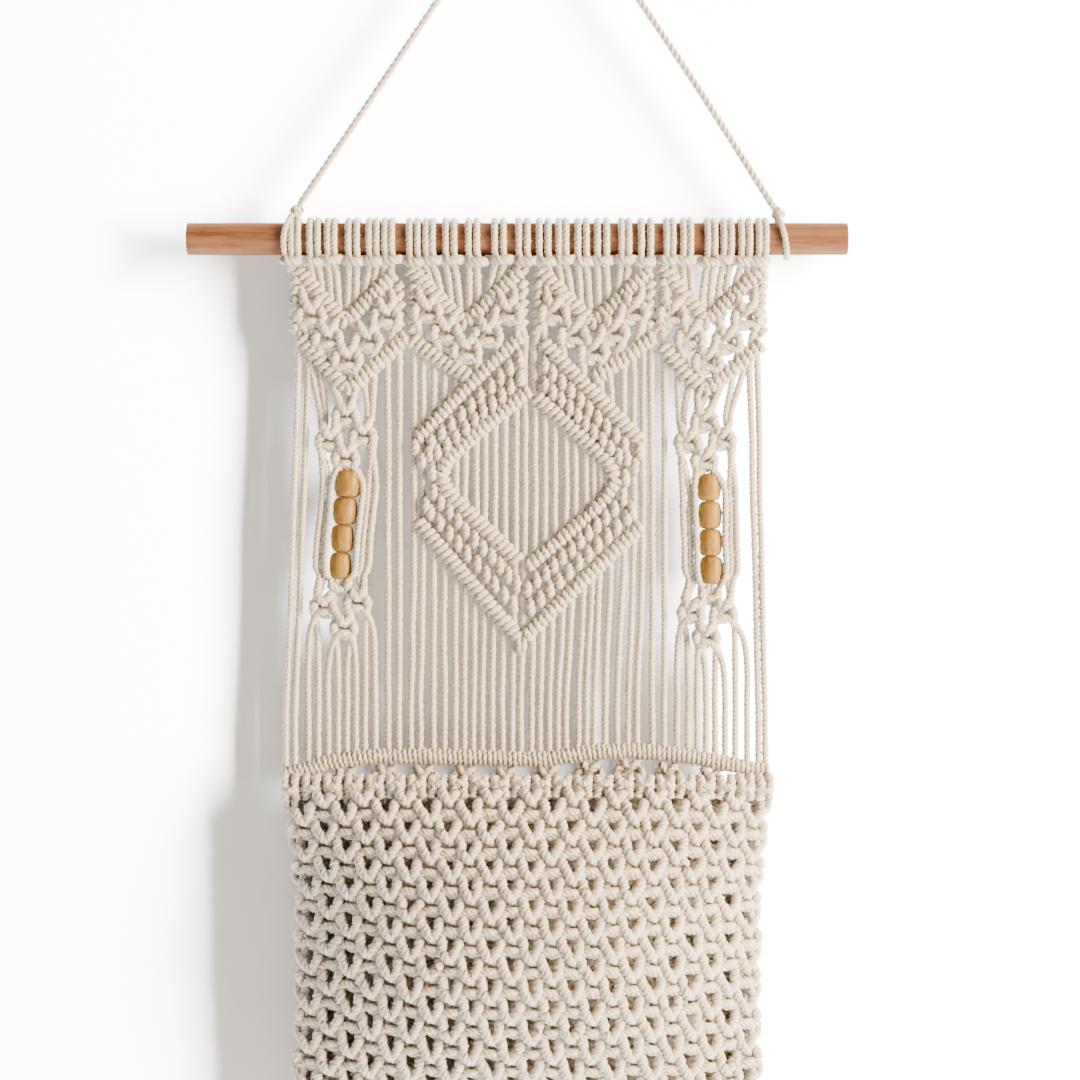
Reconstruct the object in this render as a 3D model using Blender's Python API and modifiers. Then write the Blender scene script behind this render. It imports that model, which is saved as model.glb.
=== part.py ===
"""Macrame wall hanging on a wooden rod, with a netted pocket at its foot.

Twenty-four doubled cords hang from the rod. They are knotted into four zigzags, a large diamond
and two side motifs with beads, and end at an arched ridge bar. Below it the work goes on as the
back net of a pocket, and a second net, bulged to the front, makes the pocket itself.

Metres, +Z up, +X to the right, the wall on the +Y side. The origin is on the underside of the
hanging cord, where it lies over its hook.
"""
import math

import bmesh
import bpy
import numpy as np
from mathutils import Vector

MM = 0.001
GAP = 0.3 * MM                      # between neighbouring pieces
MERGE = 0.01 * MM                   # points closer than this are one point

# Driving dimensions
CORD = 4.0 * MM                     # diameter of every cotton cord
ROD_DIAMETER = 16.0 * MM
ROD_LENGTH = 330.0 * MM
ROD_FACETS = 24
ROD_EDGE = 0.5 * MM                 # bevel of the worn ends
ROD_SHIFT = -4.8 * MM               # the rod reaches further out on the left
ROD_DROP = 185.0 * MM               # from the hook down to the rod's axis
PANEL_SHIFT = -6.0 * MM             # the panel's middle lies left of the hook
PANEL_WIDTH = 242.0 * MM            # at the ridge bar
PAIRS_PER_GROUP = 6                 # lark's heads above each zigzag
POCKET_RIM_DROP = 273.5 * MM        # from the rod's axis down to the pocket's rim
POCKET_HEIGHT = 170.5 * MM
POCKET_RIM_DEPTH = 13.0 * MM        # how far the rim stands forward at its middle
POCKET_BELLY = 30.0 * MM            # what the bulge adds to that at half height
NET_COLUMNS = 24                    # grid of knots and gaps, one knot to two columns
NET_ROWS = 18
NET_GAP = 2.7 * MM                  # from a gap's middle to each of its four corners

# The four groups of cords on the rod: middle of the group, pitch of its doubled cords
GROUPS = (
    # middle,     pitch
    (-92.0 * MM, 9.3 * MM),
    (-29.8 * MM, 10.7 * MM),
    (34.0 * MM, 10.2 * MM),
    (94.0 * MM, 9.3 * MM),
)
PAIR_SPREAD = 3.8 * MM              # between the two cords of one lark's head
GROUP_CORDS = 2 * PAIRS_PER_GROUP
HEAD_DROP = 14.0 * MM               # the row of lark's heads under the rod
HEAD_RADIUS = 3.0 * MM
STRAP_THICKNESS = 3.0 * MM          # of the two cords of a lark's head where they go round the rod
STRAP_TURN = (-30, 20, 68, 112, 160, 210)  # degrees round the rod, from the front over the top
STRAP_ENDS = (-1.4 * MM, 0.6 * MM)  # y of the strap's front and rear ends in the head bar
STRAP_FRONT = 1.7                   # how much thicker the strap is at its front end
BAR_WAIST = 0.8                     # share of a bar's radius between its ridges

# The zigzags: the middle lines of their upper and lower bars, as drops below the rod's axis
ZIGZAGS = (
    # left x,     bottom x,   right x,    upper peak, upper foot, lower peak, lower foot
    (-116.0 * MM, -90.7 * MM, -63.5 * MM, 16.0 * MM, 42.0 * MM, 49.0 * MM, 75.0 * MM),
    (-58.5 * MM, -30.2 * MM, -4.0 * MM, 16.5 * MM, 42.5 * MM, 50.0 * MM, 72.0 * MM),
    (6.0 * MM, 32.5 * MM, 61.5 * MM, 16.5 * MM, 42.5 * MM, 50.0 * MM, 72.0 * MM),
    (67.5 * MM, 89.5 * MM, 117.0 * MM, 16.0 * MM, 42.0 * MM, 51.0 * MM, 75.0 * MM),
)
ZIGZAG_STEPS = 10                   # hitches along a zigzag
ZIGZAG_ROWS = 4
ZIGZAG_GAP = 2.1 * MM               # from a gap's middle to each of its corners
ZIGZAG_COVER = 1.5 * MM             # how far a cord's end reaches into a zigzag

# The diamond's four bands, each between a raised bar along its left and its right edge
BANDS = (
    # left start (x, drop), left end, right start, right end
    ((-3.5 * MM, 49.0 * MM), (-55.0 * MM, 101.0 * MM), (0.5 * MM, 76.0 * MM), (-42.0 * MM, 117.0 * MM)),
    ((3.5 * MM, 78.0 * MM), (43.0 * MM, 120.5 * MM), (7.5 * MM, 51.0 * MM), (56.0 * MM, 101.0 * MM)),
    ((-54.5 * MM, 140.5 * MM), (-4.5 * MM, 199.0 * MM), (-42.5 * MM, 116.0 * MM), (-3.0 * MM, 161.0 * MM)),
    ((43.0 * MM, 119.5 * MM), (0.0 * MM, 163.5 * MM), (57.5 * MM, 142.0 * MM), (-2.0 * MM, 199.0 * MM)),
)
BAND_STEPS = 8                      # hitches along a band
BAND_COLUMNS = 4
BAND_BACK = 2.2 * MM                # y of a band's flat rear face
WORK_THICKNESS = 7.2 * MM           # of the zigzags and bands at a ridge
WORK_THIN = 0.68                    # share of that between the ridges
WORK_BACK = 2.4 * MM                # y of a zigzag's flat rear face
TIP_KNOT = (-3.0 * MM, -0.3 * MM, 203.0 * MM)  # x, y, drop
TIP_HEIGHT = 9.0 * MM
TIP_RADIUS = 3.9 * MM
TIP_WAIST = 0.72                    # share of that radius at its ends and middle

# The side motifs: a small diamond of four knots, four beads, and four knots again
MOTIFS = (
    # middle,    shift of the beads from the motif's middle
    (-92.5 * MM, 0.0 * MM),
    (89.5 * MM, 1.8 * MM),
)
MOTIF_NETS = (
    # top drop,  foot drop,  half width
    (77.5 * MM, 114.8 * MM, 15.0 * MM),
    (171.2 * MM, 201.0 * MM, 14.5 * MM),
)
MOTIF_STEPS = 4
MOTIF_GAP = 1.6 * MM                # from a gap's middle to each of its corners
MOTIF_THICKNESS = 9.2 * MM          # at a knot
MOTIF_THIN = 0.52                   # share of that between the knots
MOTIF_BACK = 2.3 * MM               # y of a motif's flat rear face
BEAD_HEIGHT = 13.4 * MM
BEAD_DIAMETER = 12.4 * MM
BEAD_BORE = 6.0 * MM
BEAD_MOUTH_RADIUS = 4.5 * MM        # of its end faces
BEAD_BELLY_REACH = 2.7 * MM         # from its middle up and down to where it starts to taper
BEAD_FACETS = 10
BEADS_TOP = 115.6 * MM              # drop of the upper bead's top face
BEADS = 4

# Where the inner cords of a side group run, from its middle outward, the same on both sides
SIDE_STATIONS = (
    # drop, share of the beads' shift, (cord 1, cord 2, cord 3, cord 4)
    (80.0 * MM, 0.0, (1.8 * MM, 6.6 * MM, 11.4 * MM, 16.2 * MM)),
    (100.5 * MM, 0.0, (1.1 * MM, 6.0 * MM, 10.2 * MM, 15.4 * MM)),
    (114.4 * MM, 1.0, (1.1 * MM, 8.2 * MM, 12.4 * MM, 16.8 * MM)),
    (171.6 * MM, 1.0, (1.1 * MM, 8.2 * MM, 12.4 * MM, 16.8 * MM)),
    (184.0 * MM, 0.0, (1.1 * MM, 6.0 * MM, 10.2 * MM, 15.4 * MM)),
)
THIN_CORD = 2.9 * MM                # width of a cord where two share a bead's bore

# The arched ridge bar at the panel's foot
RIDGE_ARCH = (
    # x,           drop
    (-121.0 * MM, 268.0 * MM),
    (-96.0 * MM, 261.0 * MM),
    (-78.0 * MM, 258.6 * MM),
    (-30.0 * MM, 259.0 * MM),
    (8.0 * MM, 260.4 * MM),
    (30.0 * MM, 256.8 * MM),
    (52.0 * MM, 255.6 * MM),
    (78.0 * MM, 258.0 * MM),
    (121.0 * MM, 266.5 * MM),
)
RIDGE_RADIUS = 3.6 * MM
RIDGES = 16                         # along the whole bar

# Half width of the pocket, from its rim down
POCKET_OUTLINE = (
    # share of the height, half width
    (0.0, 122.0 * MM),
    (0.15, 118.0 * MM),
    (0.35, 114.0 * MM),
    (0.70, 114.5 * MM),
    (1.0, 118.0 * MM),
)
NET_THICKNESS = 5.4 * MM            # at a knot
NET_THIN = 0.56                     # share of that between the knots
NET_SAG = 5.0 * MM                  # of a row's middle below its ends
BULGE_ACROSS = 2.2                  # power of the bulge from side to side: more is boxier
BULGE_DOWN = 0.8                    # power of the bulge from rim to foot: less is boxier
BACK_FRONT_FACE = -1.2 * MM         # y of the back net's flat front face
BACK_THICKNESS = 4.6 * MM           # at a knot
BACK_ROW_SHARES = (0.0, 0.028, 0.056, 0.37, 0.69, 1.0)  # of its height, with gaps at the second
BACK_GAP = 3.6 * MM                 # from a gap's middle to each of its corners

# The hanging cord: x and height from the rod's axis up, chosen by hand from knot to knot
CORD_ROUTE = (
    # x,           height above the rod's axis
    (-112.6 * MM, 18.9 * MM),
    (-73.0 * MM, 77.2 * MM),
    (-33.4 * MM, 135.9 * MM),
    (-3.6 * MM, 180.1 * MM),
    (0.2 * MM, 185.2 * MM),
    (6.0 * MM, 187.0 * MM),
    (11.8 * MM, 185.2 * MM),
    (15.6 * MM, 180.1 * MM),
    (45.1 * MM, 135.9 * MM),
    (84.2 * MM, 77.4 * MM),
    (123.4 * MM, 15.8 * MM),
)
CORD_STEP = 10.0 * MM
FINE_STEPS = 24                     # of each stretch of the route while it is being measured

# The ends of the hanging cord: a loop round the rod, and a lump of knot on top
HANGER_KNOTS = (
    # side,   loop x,      lump x,       lump's height above the rod's axis
    ("left", -121.6 * MM, -114.6 * MM, 16.0 * MM),
    ("right", 129.4 * MM, 125.3 * MM, 12.8 * MM),
)
HANGER_LUMP = (
    # x from its middle, radius
    (-3.0 * MM, 1.6 * MM),
    (-1.5 * MM, 2.9 * MM),
    (0.0 * MM, 2.4 * MM),
    (1.5 * MM, 2.9 * MM),
    (3.0 * MM, 1.6 * MM),
)
LOOP_FACETS = 10

COTTON = (0.80, 0.74, 0.66)
ROD_WOOD = (0.52, 0.25, 0.13)
BEAD_WOOD = (0.74, 0.50, 0.24)


def place(x, y, drop):
    """A point from the panel's middle line and the drop below the rod's axis."""
    return Vector((PANEL_SHIFT + x, y, -ROD_DROP - drop))


def clear_scene():
    for old in list(bpy.data.objects):
        bpy.data.objects.remove(old, do_unlink=True)


def make_collection(name):
    collection = bpy.data.collections.new(name)
    bpy.context.scene.collection.children.link(collection)
    return collection


def make_material(name, color, roughness):
    material = bpy.data.materials.new(name)
    material.use_nodes = True
    shader = material.node_tree.nodes["Principled BSDF"]
    shader.inputs["Base Color"].default_value = (*color, 1.0)
    shader.inputs["Roughness"].default_value = roughness
    shader.inputs["Metallic"].default_value = 0.0
    return material


def mesh_object(name, bm, collection):
    """Turn a bmesh into an object of the collection."""
    mesh = bpy.data.meshes.new(name)
    bm.to_mesh(mesh)
    bm.free()
    obj = bpy.data.objects.new(name, mesh)
    collection.objects.link(obj)
    return obj


def tube(name, points, radii, collection, bevel_resolution=0, section=None):
    """A poly curve with a round bevel or the given section, made a mesh so that it can be joined."""
    curve = bpy.data.curves.new(name, "CURVE")
    curve.dimensions = "3D"
    curve.bevel_depth = 1.0
    curve.bevel_resolution = bevel_resolution
    if section:
        curve.bevel_mode = "OBJECT"
        curve.bevel_object = section
    curve.use_fill_caps = True
    spline = curve.splines.new("POLY")
    spline.points.add(len(points) - 1)
    for target, point, radius in zip(spline.points, points, radii):
        target.co = (*point, 1.0)
        target.radius = radius
    source = bpy.data.objects.new(name + "_curve", curve)
    bpy.context.scene.collection.objects.link(source)
    bpy.context.view_layer.update()
    evaluated = source.evaluated_get(bpy.context.evaluated_depsgraph_get())
    mesh = bpy.data.meshes.new_from_object(evaluated)
    mesh.name = name
    bpy.data.objects.remove(source, do_unlink=True)
    bpy.data.curves.remove(curve)
    bm = bmesh.new()
    bm.from_mesh(mesh)
    bpy.data.meshes.remove(mesh)
    bmesh.ops.remove_doubles(bm, verts=bm.verts, dist=MERGE)
    return mesh_object(name, bm, collection)


def make_section(name, sides):
    """A unit polygon for a cord's section, with a corner to the front."""
    curve = bpy.data.curves.new(name, "CURVE")
    curve.dimensions = "2D"
    spline = curve.splines.new("POLY")
    spline.points.add(sides - 1)
    spline.use_cyclic_u = True
    for corner, point in enumerate(spline.points):
        angle = -2 * math.pi * corner / sides
        point.co = (math.cos(angle), math.sin(angle), 0.0, 1.0)
    section = bpy.data.objects.new(name, curve)
    section.hide_render = True
    bpy.context.scene.collection.objects.link(section)
    return section


def ridged_tube(name, start, end, ridges, radius, waist, collection):
    """A straight bar of hitches, thick at each ridge and thin between them."""
    steps = 2 * ridges
    points = [start.lerp(end, step / steps) for step in range(steps + 1)]
    radii = [radius * (1.0 if step % 2 else waist) for step in range(steps + 1)]
    return tube(name, points, radii, collection)


def union(target, others):
    """Fuse the pieces of a collection into the target, and drop them."""
    modifier = target.modifiers.new("fuse", "BOOLEAN")
    modifier.operation = "UNION"
    modifier.operand_type = "COLLECTION"
    modifier.collection = others
    modifier.solver = "EXACT"
    modifier.use_self = True
    bpy.context.view_layer.update()
    evaluated = target.evaluated_get(bpy.context.evaluated_depsgraph_get())
    fused = bpy.data.meshes.new_from_object(evaluated)
    target.modifiers.clear()
    bm = bmesh.new()
    bm.from_mesh(fused)
    bmesh.ops.dissolve_limit(bm, angle_limit=math.radians(1.0), verts=bm.verts, edges=bm.edges)
    bm.to_mesh(fused)
    bm.free()
    old = target.data
    target.data = fused
    bpy.data.meshes.remove(old)
    for piece in list(others.objects):
        bpy.data.objects.remove(piece, do_unlink=True)
    bpy.data.collections.remove(others)
    return target


def worked_sheet(name, columns, rows, surface, relief, thickness, thin, offset, collection,
                 is_gap=None, gap=0.0, cell=(1.0, 1.0)):
    """A knotted sheet on a grid: thick where relief is 1, thin where it is 0, open at each gap.

    surface(u, v) places a point, with u from -1 to 1 across and v from 0 at the top to 1.
    """
    bm = bmesh.new()
    bmesh.ops.create_grid(bm, x_segments=columns, y_segments=rows, size=1.0)
    for vert in bm.verts:
        vert.co.x *= columns * cell[0] / 2
        vert.co.y *= rows * cell[1] / 2

    def grid_place(vert):
        column = vert.co.x / cell[0] + columns / 2
        row = rows / 2 - vert.co.y / cell[1]
        return column, row

    if is_gap:
        open_verts = []
        for vert in bm.verts:
            column, row = grid_place(vert)
            if is_gap(round(column), round(row)):
                open_verts.append(vert)
        cut = bmesh.ops.bevel(bm, geom=open_verts, offset=gap, offset_type="OFFSET",
                              affect="VERTICES", segments=1, profile=0.5)
        bmesh.ops.delete(bm, geom=cut["faces"], context="FACES")
    bmesh.ops.triangulate(bm, faces=bm.faces)
    heights = []
    for vert in bm.verts:
        column, row = grid_place(vert)
        on_grid = abs(column - round(column)) < 0.01 and abs(row - round(row)) < 0.01
        heights.append(relief(round(column), round(row)) if on_grid else 0.0)
        vert.co = surface(2 * column / columns - 1, row / rows)
    obj = mesh_object(name, bm, collection)
    group = obj.vertex_groups.new(name="relief")
    for index, height in enumerate(heights):
        group.add([index], height, "REPLACE")
    solid = obj.modifiers.new("thickness", "SOLIDIFY")
    solid.thickness = thickness
    solid.offset = offset
    solid.vertex_group = group.name
    solid.thickness_vertex_group = thin
    return obj


def make_rod(collection):
    bm = bmesh.new()
    bmesh.ops.create_cone(bm, cap_ends=True, segments=ROD_FACETS, radius1=ROD_DIAMETER / 2,
                          radius2=ROD_DIAMETER / 2, depth=ROD_LENGTH)
    rod = mesh_object("rod", bm, collection)
    rod.rotation_euler = (0.0, math.radians(90.0), 0.0)
    rod.location = place(ROD_SHIFT, 0.0, 0.0)
    bevel = rod.modifiers.new("worn edge", "BEVEL")
    bevel.width = ROD_EDGE
    bevel.segments = 1
    return rod


def pair_places():
    """The middle of each doubled cord on the rod."""
    half = (PAIRS_PER_GROUP - 1) / 2
    return [middle + pitch * (index - half)
            for middle, pitch in GROUPS for index in range(PAIRS_PER_GROUP)]


def strand_places():
    """Each cord on the rod, two to a lark's head."""
    return [x + side * PAIR_SPREAD / 2 for x in pair_places() for side in (-1.0, 1.0)]


def ridge_drop(x):
    xs, drops = zip(*RIDGE_ARCH)
    return float(np.interp(x, xs, drops))


def strand_foot(index):
    """Where a cord meets the ridge bar."""
    count = len(GROUPS) * GROUP_CORDS
    return (index + 0.5 - count / 2) * (PANEL_WIDTH - CORD) / count


def top_route(index, x_rod):
    """One cord from the lark's head to its zigzag's upper edge."""
    left, bottom, right, upper_peak, upper_foot, _, _ = ZIGZAGS[index // GROUP_CORDS]
    x = (x_rod + strand_foot(index)) / 2
    drop = float(np.interp(x, (left, bottom, right), (upper_peak, upper_foot, upper_peak)))
    return [place(x_rod, 0.0, HEAD_DROP), place(x, 0.0, drop + ZIGZAG_COVER)]


def long_route(index):
    """One cord from its zigzag's lower edge to the ridge bar, and its radius at each point."""
    x_foot = strand_foot(index)
    group, place_in_group = divmod(index, GROUP_CORDS)
    left, bottom, right, _, _, lower_peak, lower_foot = ZIGZAGS[group]
    below_zigzag = float(np.interp(x_foot, (left, bottom, right), (lower_peak, lower_foot, lower_peak)))
    stops = [(x_foot, below_zigzag, CORD / 2)]
    if group in (0, len(GROUPS) - 1):
        side = -1.0 if place_in_group < GROUP_CORDS / 2 else 1.0
        rank = int(abs(place_in_group - (GROUP_CORDS - 1) / 2))
        middle, bead_shift = MOTIFS[0 if group == 0 else 1]
        radius = THIN_CORD / 2 if rank == 0 else CORD / 2
        for drop, bead_share, offsets in SIDE_STATIONS:
            if rank < len(offsets):
                stops.append((middle + bead_share * bead_shift + side * offsets[rank], drop, radius))
    stops.append((x_foot, ridge_drop(x_foot), CORD / 2))
    return [place(x, 0.0, drop) for x, drop, _ in stops], [radius for _, _, radius in stops]


def make_rod_loops(collection):
    """The two cords of each lark's head round the rod, side by side as one strap."""
    half_thick = STRAP_THICKNESS / 2
    half_facet = math.radians(22.5)
    reach = (ROD_DIAMETER / 2 + GAP) / math.cos(half_facet) + half_thick
    turn = [math.radians(angle) for angle in STRAP_TURN]
    front_end, rear_end = [Vector((0.0, y, -HEAD_DROP)) for y in STRAP_ENDS]
    over = [Vector((0.0, -reach * math.cos(angle), reach * math.sin(angle))) for angle in turn]
    points = [front_end, *over, rear_end]
    radii = [STRAP_FRONT * half_thick] + [half_thick] * (len(points) - 1)
    for index, x in enumerate(pair_places()):
        strap = tube(f"loop_{index}", points, radii, collection)
        strap.scale.x = (PAIR_SPREAD / 2 + half_thick) / half_thick
        strap.location = place(x, 0.0, 0.0)


def make_head_bar(collection):
    """The row of lark's heads under the rod, which all the loops end in."""
    middles = pair_places()
    reach = PAIR_SPREAD / 2 + CORD / 2
    ends = [place(middles[0] - reach, 0.0, HEAD_DROP), place(middles[-1] + reach, 0.0, HEAD_DROP)]
    return tube("head_bar", ends, [HEAD_RADIUS] * 2, collection)


def make_zigzag(number, zigzag, collection):
    """A zigzag: hitches along both edges, knots with small gaps between them."""
    left, bottom, right, upper_peak, upper_foot, lower_peak, lower_foot = zigzag

    def surface(u, v):
        x = float(np.interp(u, (-1.0, 0.0, 1.0), (left, bottom, right)))
        upper = float(np.interp(u, (-1.0, 0.0, 1.0), (upper_peak, upper_foot, upper_peak)))
        lower = float(np.interp(u, (-1.0, 0.0, 1.0), (lower_peak, lower_foot, lower_peak)))
        return place(x, WORK_BACK, upper + (lower - upper) * v)

    def is_gap(column, row):
        return row == ZIGZAG_ROWS / 2 and column % 2 == 0 and 0 < column < ZIGZAG_STEPS

    def relief(column, row):
        if row in (0, ZIGZAG_ROWS):
            return 1.0 if column % 2 else 0.6
        return 0.9 if row == ZIGZAG_ROWS / 2 and column % 2 else 0.0

    cell = ((right - left) / ZIGZAG_STEPS, (lower_peak - upper_peak) / ZIGZAG_ROWS)
    return worked_sheet(f"zigzag_{number}", ZIGZAG_STEPS, ZIGZAG_ROWS, surface, relief,
                        WORK_THICKNESS, WORK_THIN, 1.0, collection, is_gap, ZIGZAG_GAP, cell)


def make_motif_net(name, middle, net, collection):
    """Four square knots set in a small diamond, with a gap between them."""
    top, foot, half_width = net

    def surface(u, v):
        across = (u + 1) / 2
        return place(middle + (across - v) * half_width, MOTIF_BACK,
                     top + (foot - top) * (across + v) / 2)

    def relief(column, row):
        return 1.0 if column % 2 and row % 2 else 0.0

    def is_gap(column, row):
        return column == row == MOTIF_STEPS / 2

    cell = (half_width / 3, half_width / 3)
    return worked_sheet(name, MOTIF_STEPS, MOTIF_STEPS, surface, relief, MOTIF_THICKNESS, MOTIF_THIN,
                        1.0, collection, is_gap, MOTIF_GAP, cell)


def make_band(number, band, collection):
    """One band of the diamond: a raised bar along each edge and hitches between them."""
    left_start, left_end, right_start, right_end = [Vector((x, 0.0, drop)) for x, drop in band]

    def surface(u, v):
        left = left_start.lerp(left_end, v)
        right = right_start.lerp(right_end, v)
        spot = left.lerp(right, (u + 1) / 2)
        return place(spot.x, BAND_BACK, spot.z)

    def relief(column, row):
        if column in (0, BAND_COLUMNS):
            return 1.0 if row % 2 else 0.7
        if column == BAND_COLUMNS / 2:
            return 0.75 if row % 2 else 0.3
        return 0.0

    return worked_sheet(f"band_{number}", BAND_COLUMNS, BAND_STEPS, surface, relief,
                        WORK_THICKNESS, WORK_THIN, 1.0, collection)


def make_panel(collection):
    """The knotted sheet from the rod down to the ridge bar, fused into one solid."""
    pieces = make_collection("panel_pieces")
    section = make_section("cord_section", 3)
    make_rod_loops(pieces)
    for index, x_rod in enumerate(strand_places()):
        top = top_route(index, x_rod)
        if top[0].z - top[1].z > CORD:
            tube(f"strand_top_{index}", top, [CORD / 2] * 2, pieces, section=section)
        points, radii = long_route(index)
        tube(f"strand_{index}", points, radii, pieces, section=section)
    bpy.data.objects.remove(section, do_unlink=True)
    for number, zigzag in enumerate(ZIGZAGS):
        make_zigzag(number, zigzag, pieces)
    for number, band in enumerate(BANDS):
        make_band(number, band, pieces)
    tip_top, tip_foot = [place(*TIP_KNOT) + Vector((0.0, 0.0, reach)) for reach in
                         (TIP_HEIGHT / 2, -TIP_HEIGHT / 2)]
    ridged_tube("tip_knot", tip_top, tip_foot, 2, TIP_RADIUS, TIP_WAIST, pieces)
    for side, (middle, _) in enumerate(MOTIFS):
        for number, net in enumerate(MOTIF_NETS):
            make_motif_net(f"motif_{side}_{number}", middle, net, pieces)
    xs = np.linspace(-PANEL_WIDTH / 2, PANEL_WIDTH / 2, 2 * RIDGES + 1)
    points = [place(x, 0.0, ridge_drop(x)) for x in xs]
    radii = [RIDGE_RADIUS * (1.0 if step % 2 else BAR_WAIST) for step in range(len(points))]
    tube("ridge_bar", points, radii, pieces)
    panel = make_head_bar(collection)
    panel.name = "knotted_panel"
    return union(panel, pieces)


def pocket_half_width(v):
    shares, widths = zip(*POCKET_OUTLINE)
    return float(np.interp(v, shares, widths))


def front_surface(u, v):
    """The inner face of the front net."""
    depth = POCKET_RIM_DEPTH * (1 - v) + POCKET_BELLY * max(0.0, math.sin(math.pi * v)) ** BULGE_DOWN
    bulge = (1 - abs(u) ** BULGE_ACROSS) * depth
    sag = NET_SAG * (1 - u * u) * math.sin(math.pi * v)
    return place(u * pocket_half_width(v), BACK_FRONT_FACE - GAP - bulge,
                 POCKET_RIM_DROP + v * POCKET_HEIGHT + sag)


def make_pocket_front(collection):
    """The bulged net, open at each gap between its knots, with a thick rim."""
    def is_gap(column, row):
        return (column + row) % 2 == 1 and 0 < column < NET_COLUMNS and 0 < row < NET_ROWS

    def relief(column, row):
        if row == 0:
            return 1.0 if column % 2 else 0.75
        return 1.0 if (column + row) % 2 == 0 and row < NET_ROWS else 0.0

    cell = (2 * pocket_half_width(0.5) / NET_COLUMNS, POCKET_HEIGHT / NET_ROWS)
    return worked_sheet("pocket_front", NET_COLUMNS, NET_ROWS, front_surface, relief,
                        NET_THICKNESS, NET_THIN, 1.0, collection, is_gap, NET_GAP, cell)


def make_pocket_back(collection):
    """The flat net behind the pocket: open in its first row, raised knots on its rear face."""
    foot = POCKET_RIM_DROP + POCKET_HEIGHT

    def surface(u, v):
        x_top = u * PANEL_WIDTH / 2
        top = ridge_drop(x_top) + RIDGE_RADIUS + GAP
        grid_shares = np.linspace(0.0, 1.0, len(BACK_ROW_SHARES))
        drop = top + (foot - top) * float(np.interp(v, grid_shares, BACK_ROW_SHARES))
        share = (drop - POCKET_RIM_DROP) / POCKET_HEIGHT
        x = u * (pocket_half_width(share) if share > 0 else PANEL_WIDTH / 2)
        return place(x, BACK_FRONT_FACE, drop)

    def is_gap(column, row):
        return row == 1 and column % 2 == 0 and 0 < column < NET_COLUMNS

    def relief(column, row):
        return 1.0 if row == 1 and column % 2 else 0.0

    cell = (PANEL_WIDTH / NET_COLUMNS, PANEL_WIDTH / NET_COLUMNS)
    return worked_sheet("pocket_back", NET_COLUMNS, len(BACK_ROW_SHARES) - 1, surface, relief,
                        BACK_THICKNESS, NET_THIN, -1.0, collection, is_gap, BACK_GAP, cell)


def make_bead(name, middle, top_drop, collection):
    """A turned barrel bead with a bore for two cords."""
    bore = BEAD_BORE / 2
    profile = (
        # radius, height from the bead's middle
        (bore, BEAD_HEIGHT / 2),
        (BEAD_MOUTH_RADIUS, BEAD_HEIGHT / 2),
        (BEAD_DIAMETER / 2, BEAD_BELLY_REACH),
        (BEAD_DIAMETER / 2, -BEAD_BELLY_REACH),
        (BEAD_MOUTH_RADIUS, -BEAD_HEIGHT / 2),
        (bore, -BEAD_HEIGHT / 2),
    )
    bm = bmesh.new()
    verts = [bm.verts.new((radius, 0.0, height)) for radius, height in profile]
    for first, second in zip(verts, verts[1:] + verts[:1]):
        bm.edges.new((first, second))
    bead = mesh_object(name, bm, collection)
    bead.location = place(middle, 0.0, top_drop + BEAD_HEIGHT / 2)
    screw = bead.modifiers.new("turn", "SCREW")
    screw.steps = BEAD_FACETS
    screw.render_steps = BEAD_FACETS
    screw.use_merge_vertices = True
    screw.merge_threshold = MERGE
    return bead


def make_beads(collection, material):
    for side, (middle, bead_shift) in zip(("left", "right"), MOTIFS):
        for number in range(BEADS):
            top_drop = BEADS_TOP + number * (BEAD_HEIGHT + GAP)
            bead = make_bead(f"bead_{side}_{number + 1}", middle + bead_shift, top_drop, collection)
            bead.data.materials.append(material)


def smooth_route(corners, step):
    """Points at an even step along a smooth curve through the corners."""
    padded = [corners[0] * 2 - corners[1]] + corners + [corners[-1] * 2 - corners[-2]]
    fine = []
    for before, start, end, after in zip(padded, padded[1:], padded[2:], padded[3:]):
        for share in np.linspace(0.0, 1.0, FINE_STEPS, endpoint=False):
            t = float(share)
            fine.append(0.5 * (2 * start + (end - before) * t
                               + (2 * before - 5 * start + 4 * end - after) * t * t
                               + (3 * start - before - 3 * end + after) * t ** 3))
    fine.append(corners[-1])
    lengths = np.cumsum([0.0] + [(b - a).length for a, b in zip(fine, fine[1:])])
    stops = np.linspace(0.0, lengths[-1], round(lengths[-1] / step) + 1)
    columns = [np.interp(stops, lengths, [point[axis] for point in fine]) for axis in range(3)]
    return [Vector(values) for values in zip(*columns)]


def make_hanging_cord(collection):
    corners = [place(x, 0.0, -height) for x, height in CORD_ROUTE]
    points = smooth_route(corners, CORD_STEP)
    return tube("hanging_cord", points, [CORD / 2] * len(points), collection, bevel_resolution=2)


def make_hanger_knot(side, loop_x, lump_x, lump_height, collection):
    """One end of the hanging cord: its loop round the rod and the knot on top."""
    name = f"hanger_knot_{side}"
    pieces = make_collection(name + "_pieces")
    reach = (ROD_DIAMETER / 2 + GAP + CORD / 2) / math.cos(math.pi / LOOP_FACETS)
    bpy.ops.mesh.primitive_torus_add(major_segments=LOOP_FACETS, minor_segments=6, major_radius=reach,
                                     minor_radius=CORD / 2, location=place(loop_x, 0.0, 0.0),
                                     rotation=(0.0, math.radians(90.0), 0.0))
    loop = bpy.context.object
    loop.users_collection[0].objects.unlink(loop)
    pieces.objects.link(loop)
    lump = place(lump_x, 0.0, -lump_height)
    start = place(loop_x, 0.0, -reach)
    tube(name + "_lead", [start, lump], [CORD / 2] * 2, pieces)
    points = [lump + Vector((offset, 0.0, 0.0)) for offset, _ in HANGER_LUMP]
    radii = [radius for _, radius in HANGER_LUMP]
    return union(tube(name, points, radii, collection, bevel_resolution=1), pieces)


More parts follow.
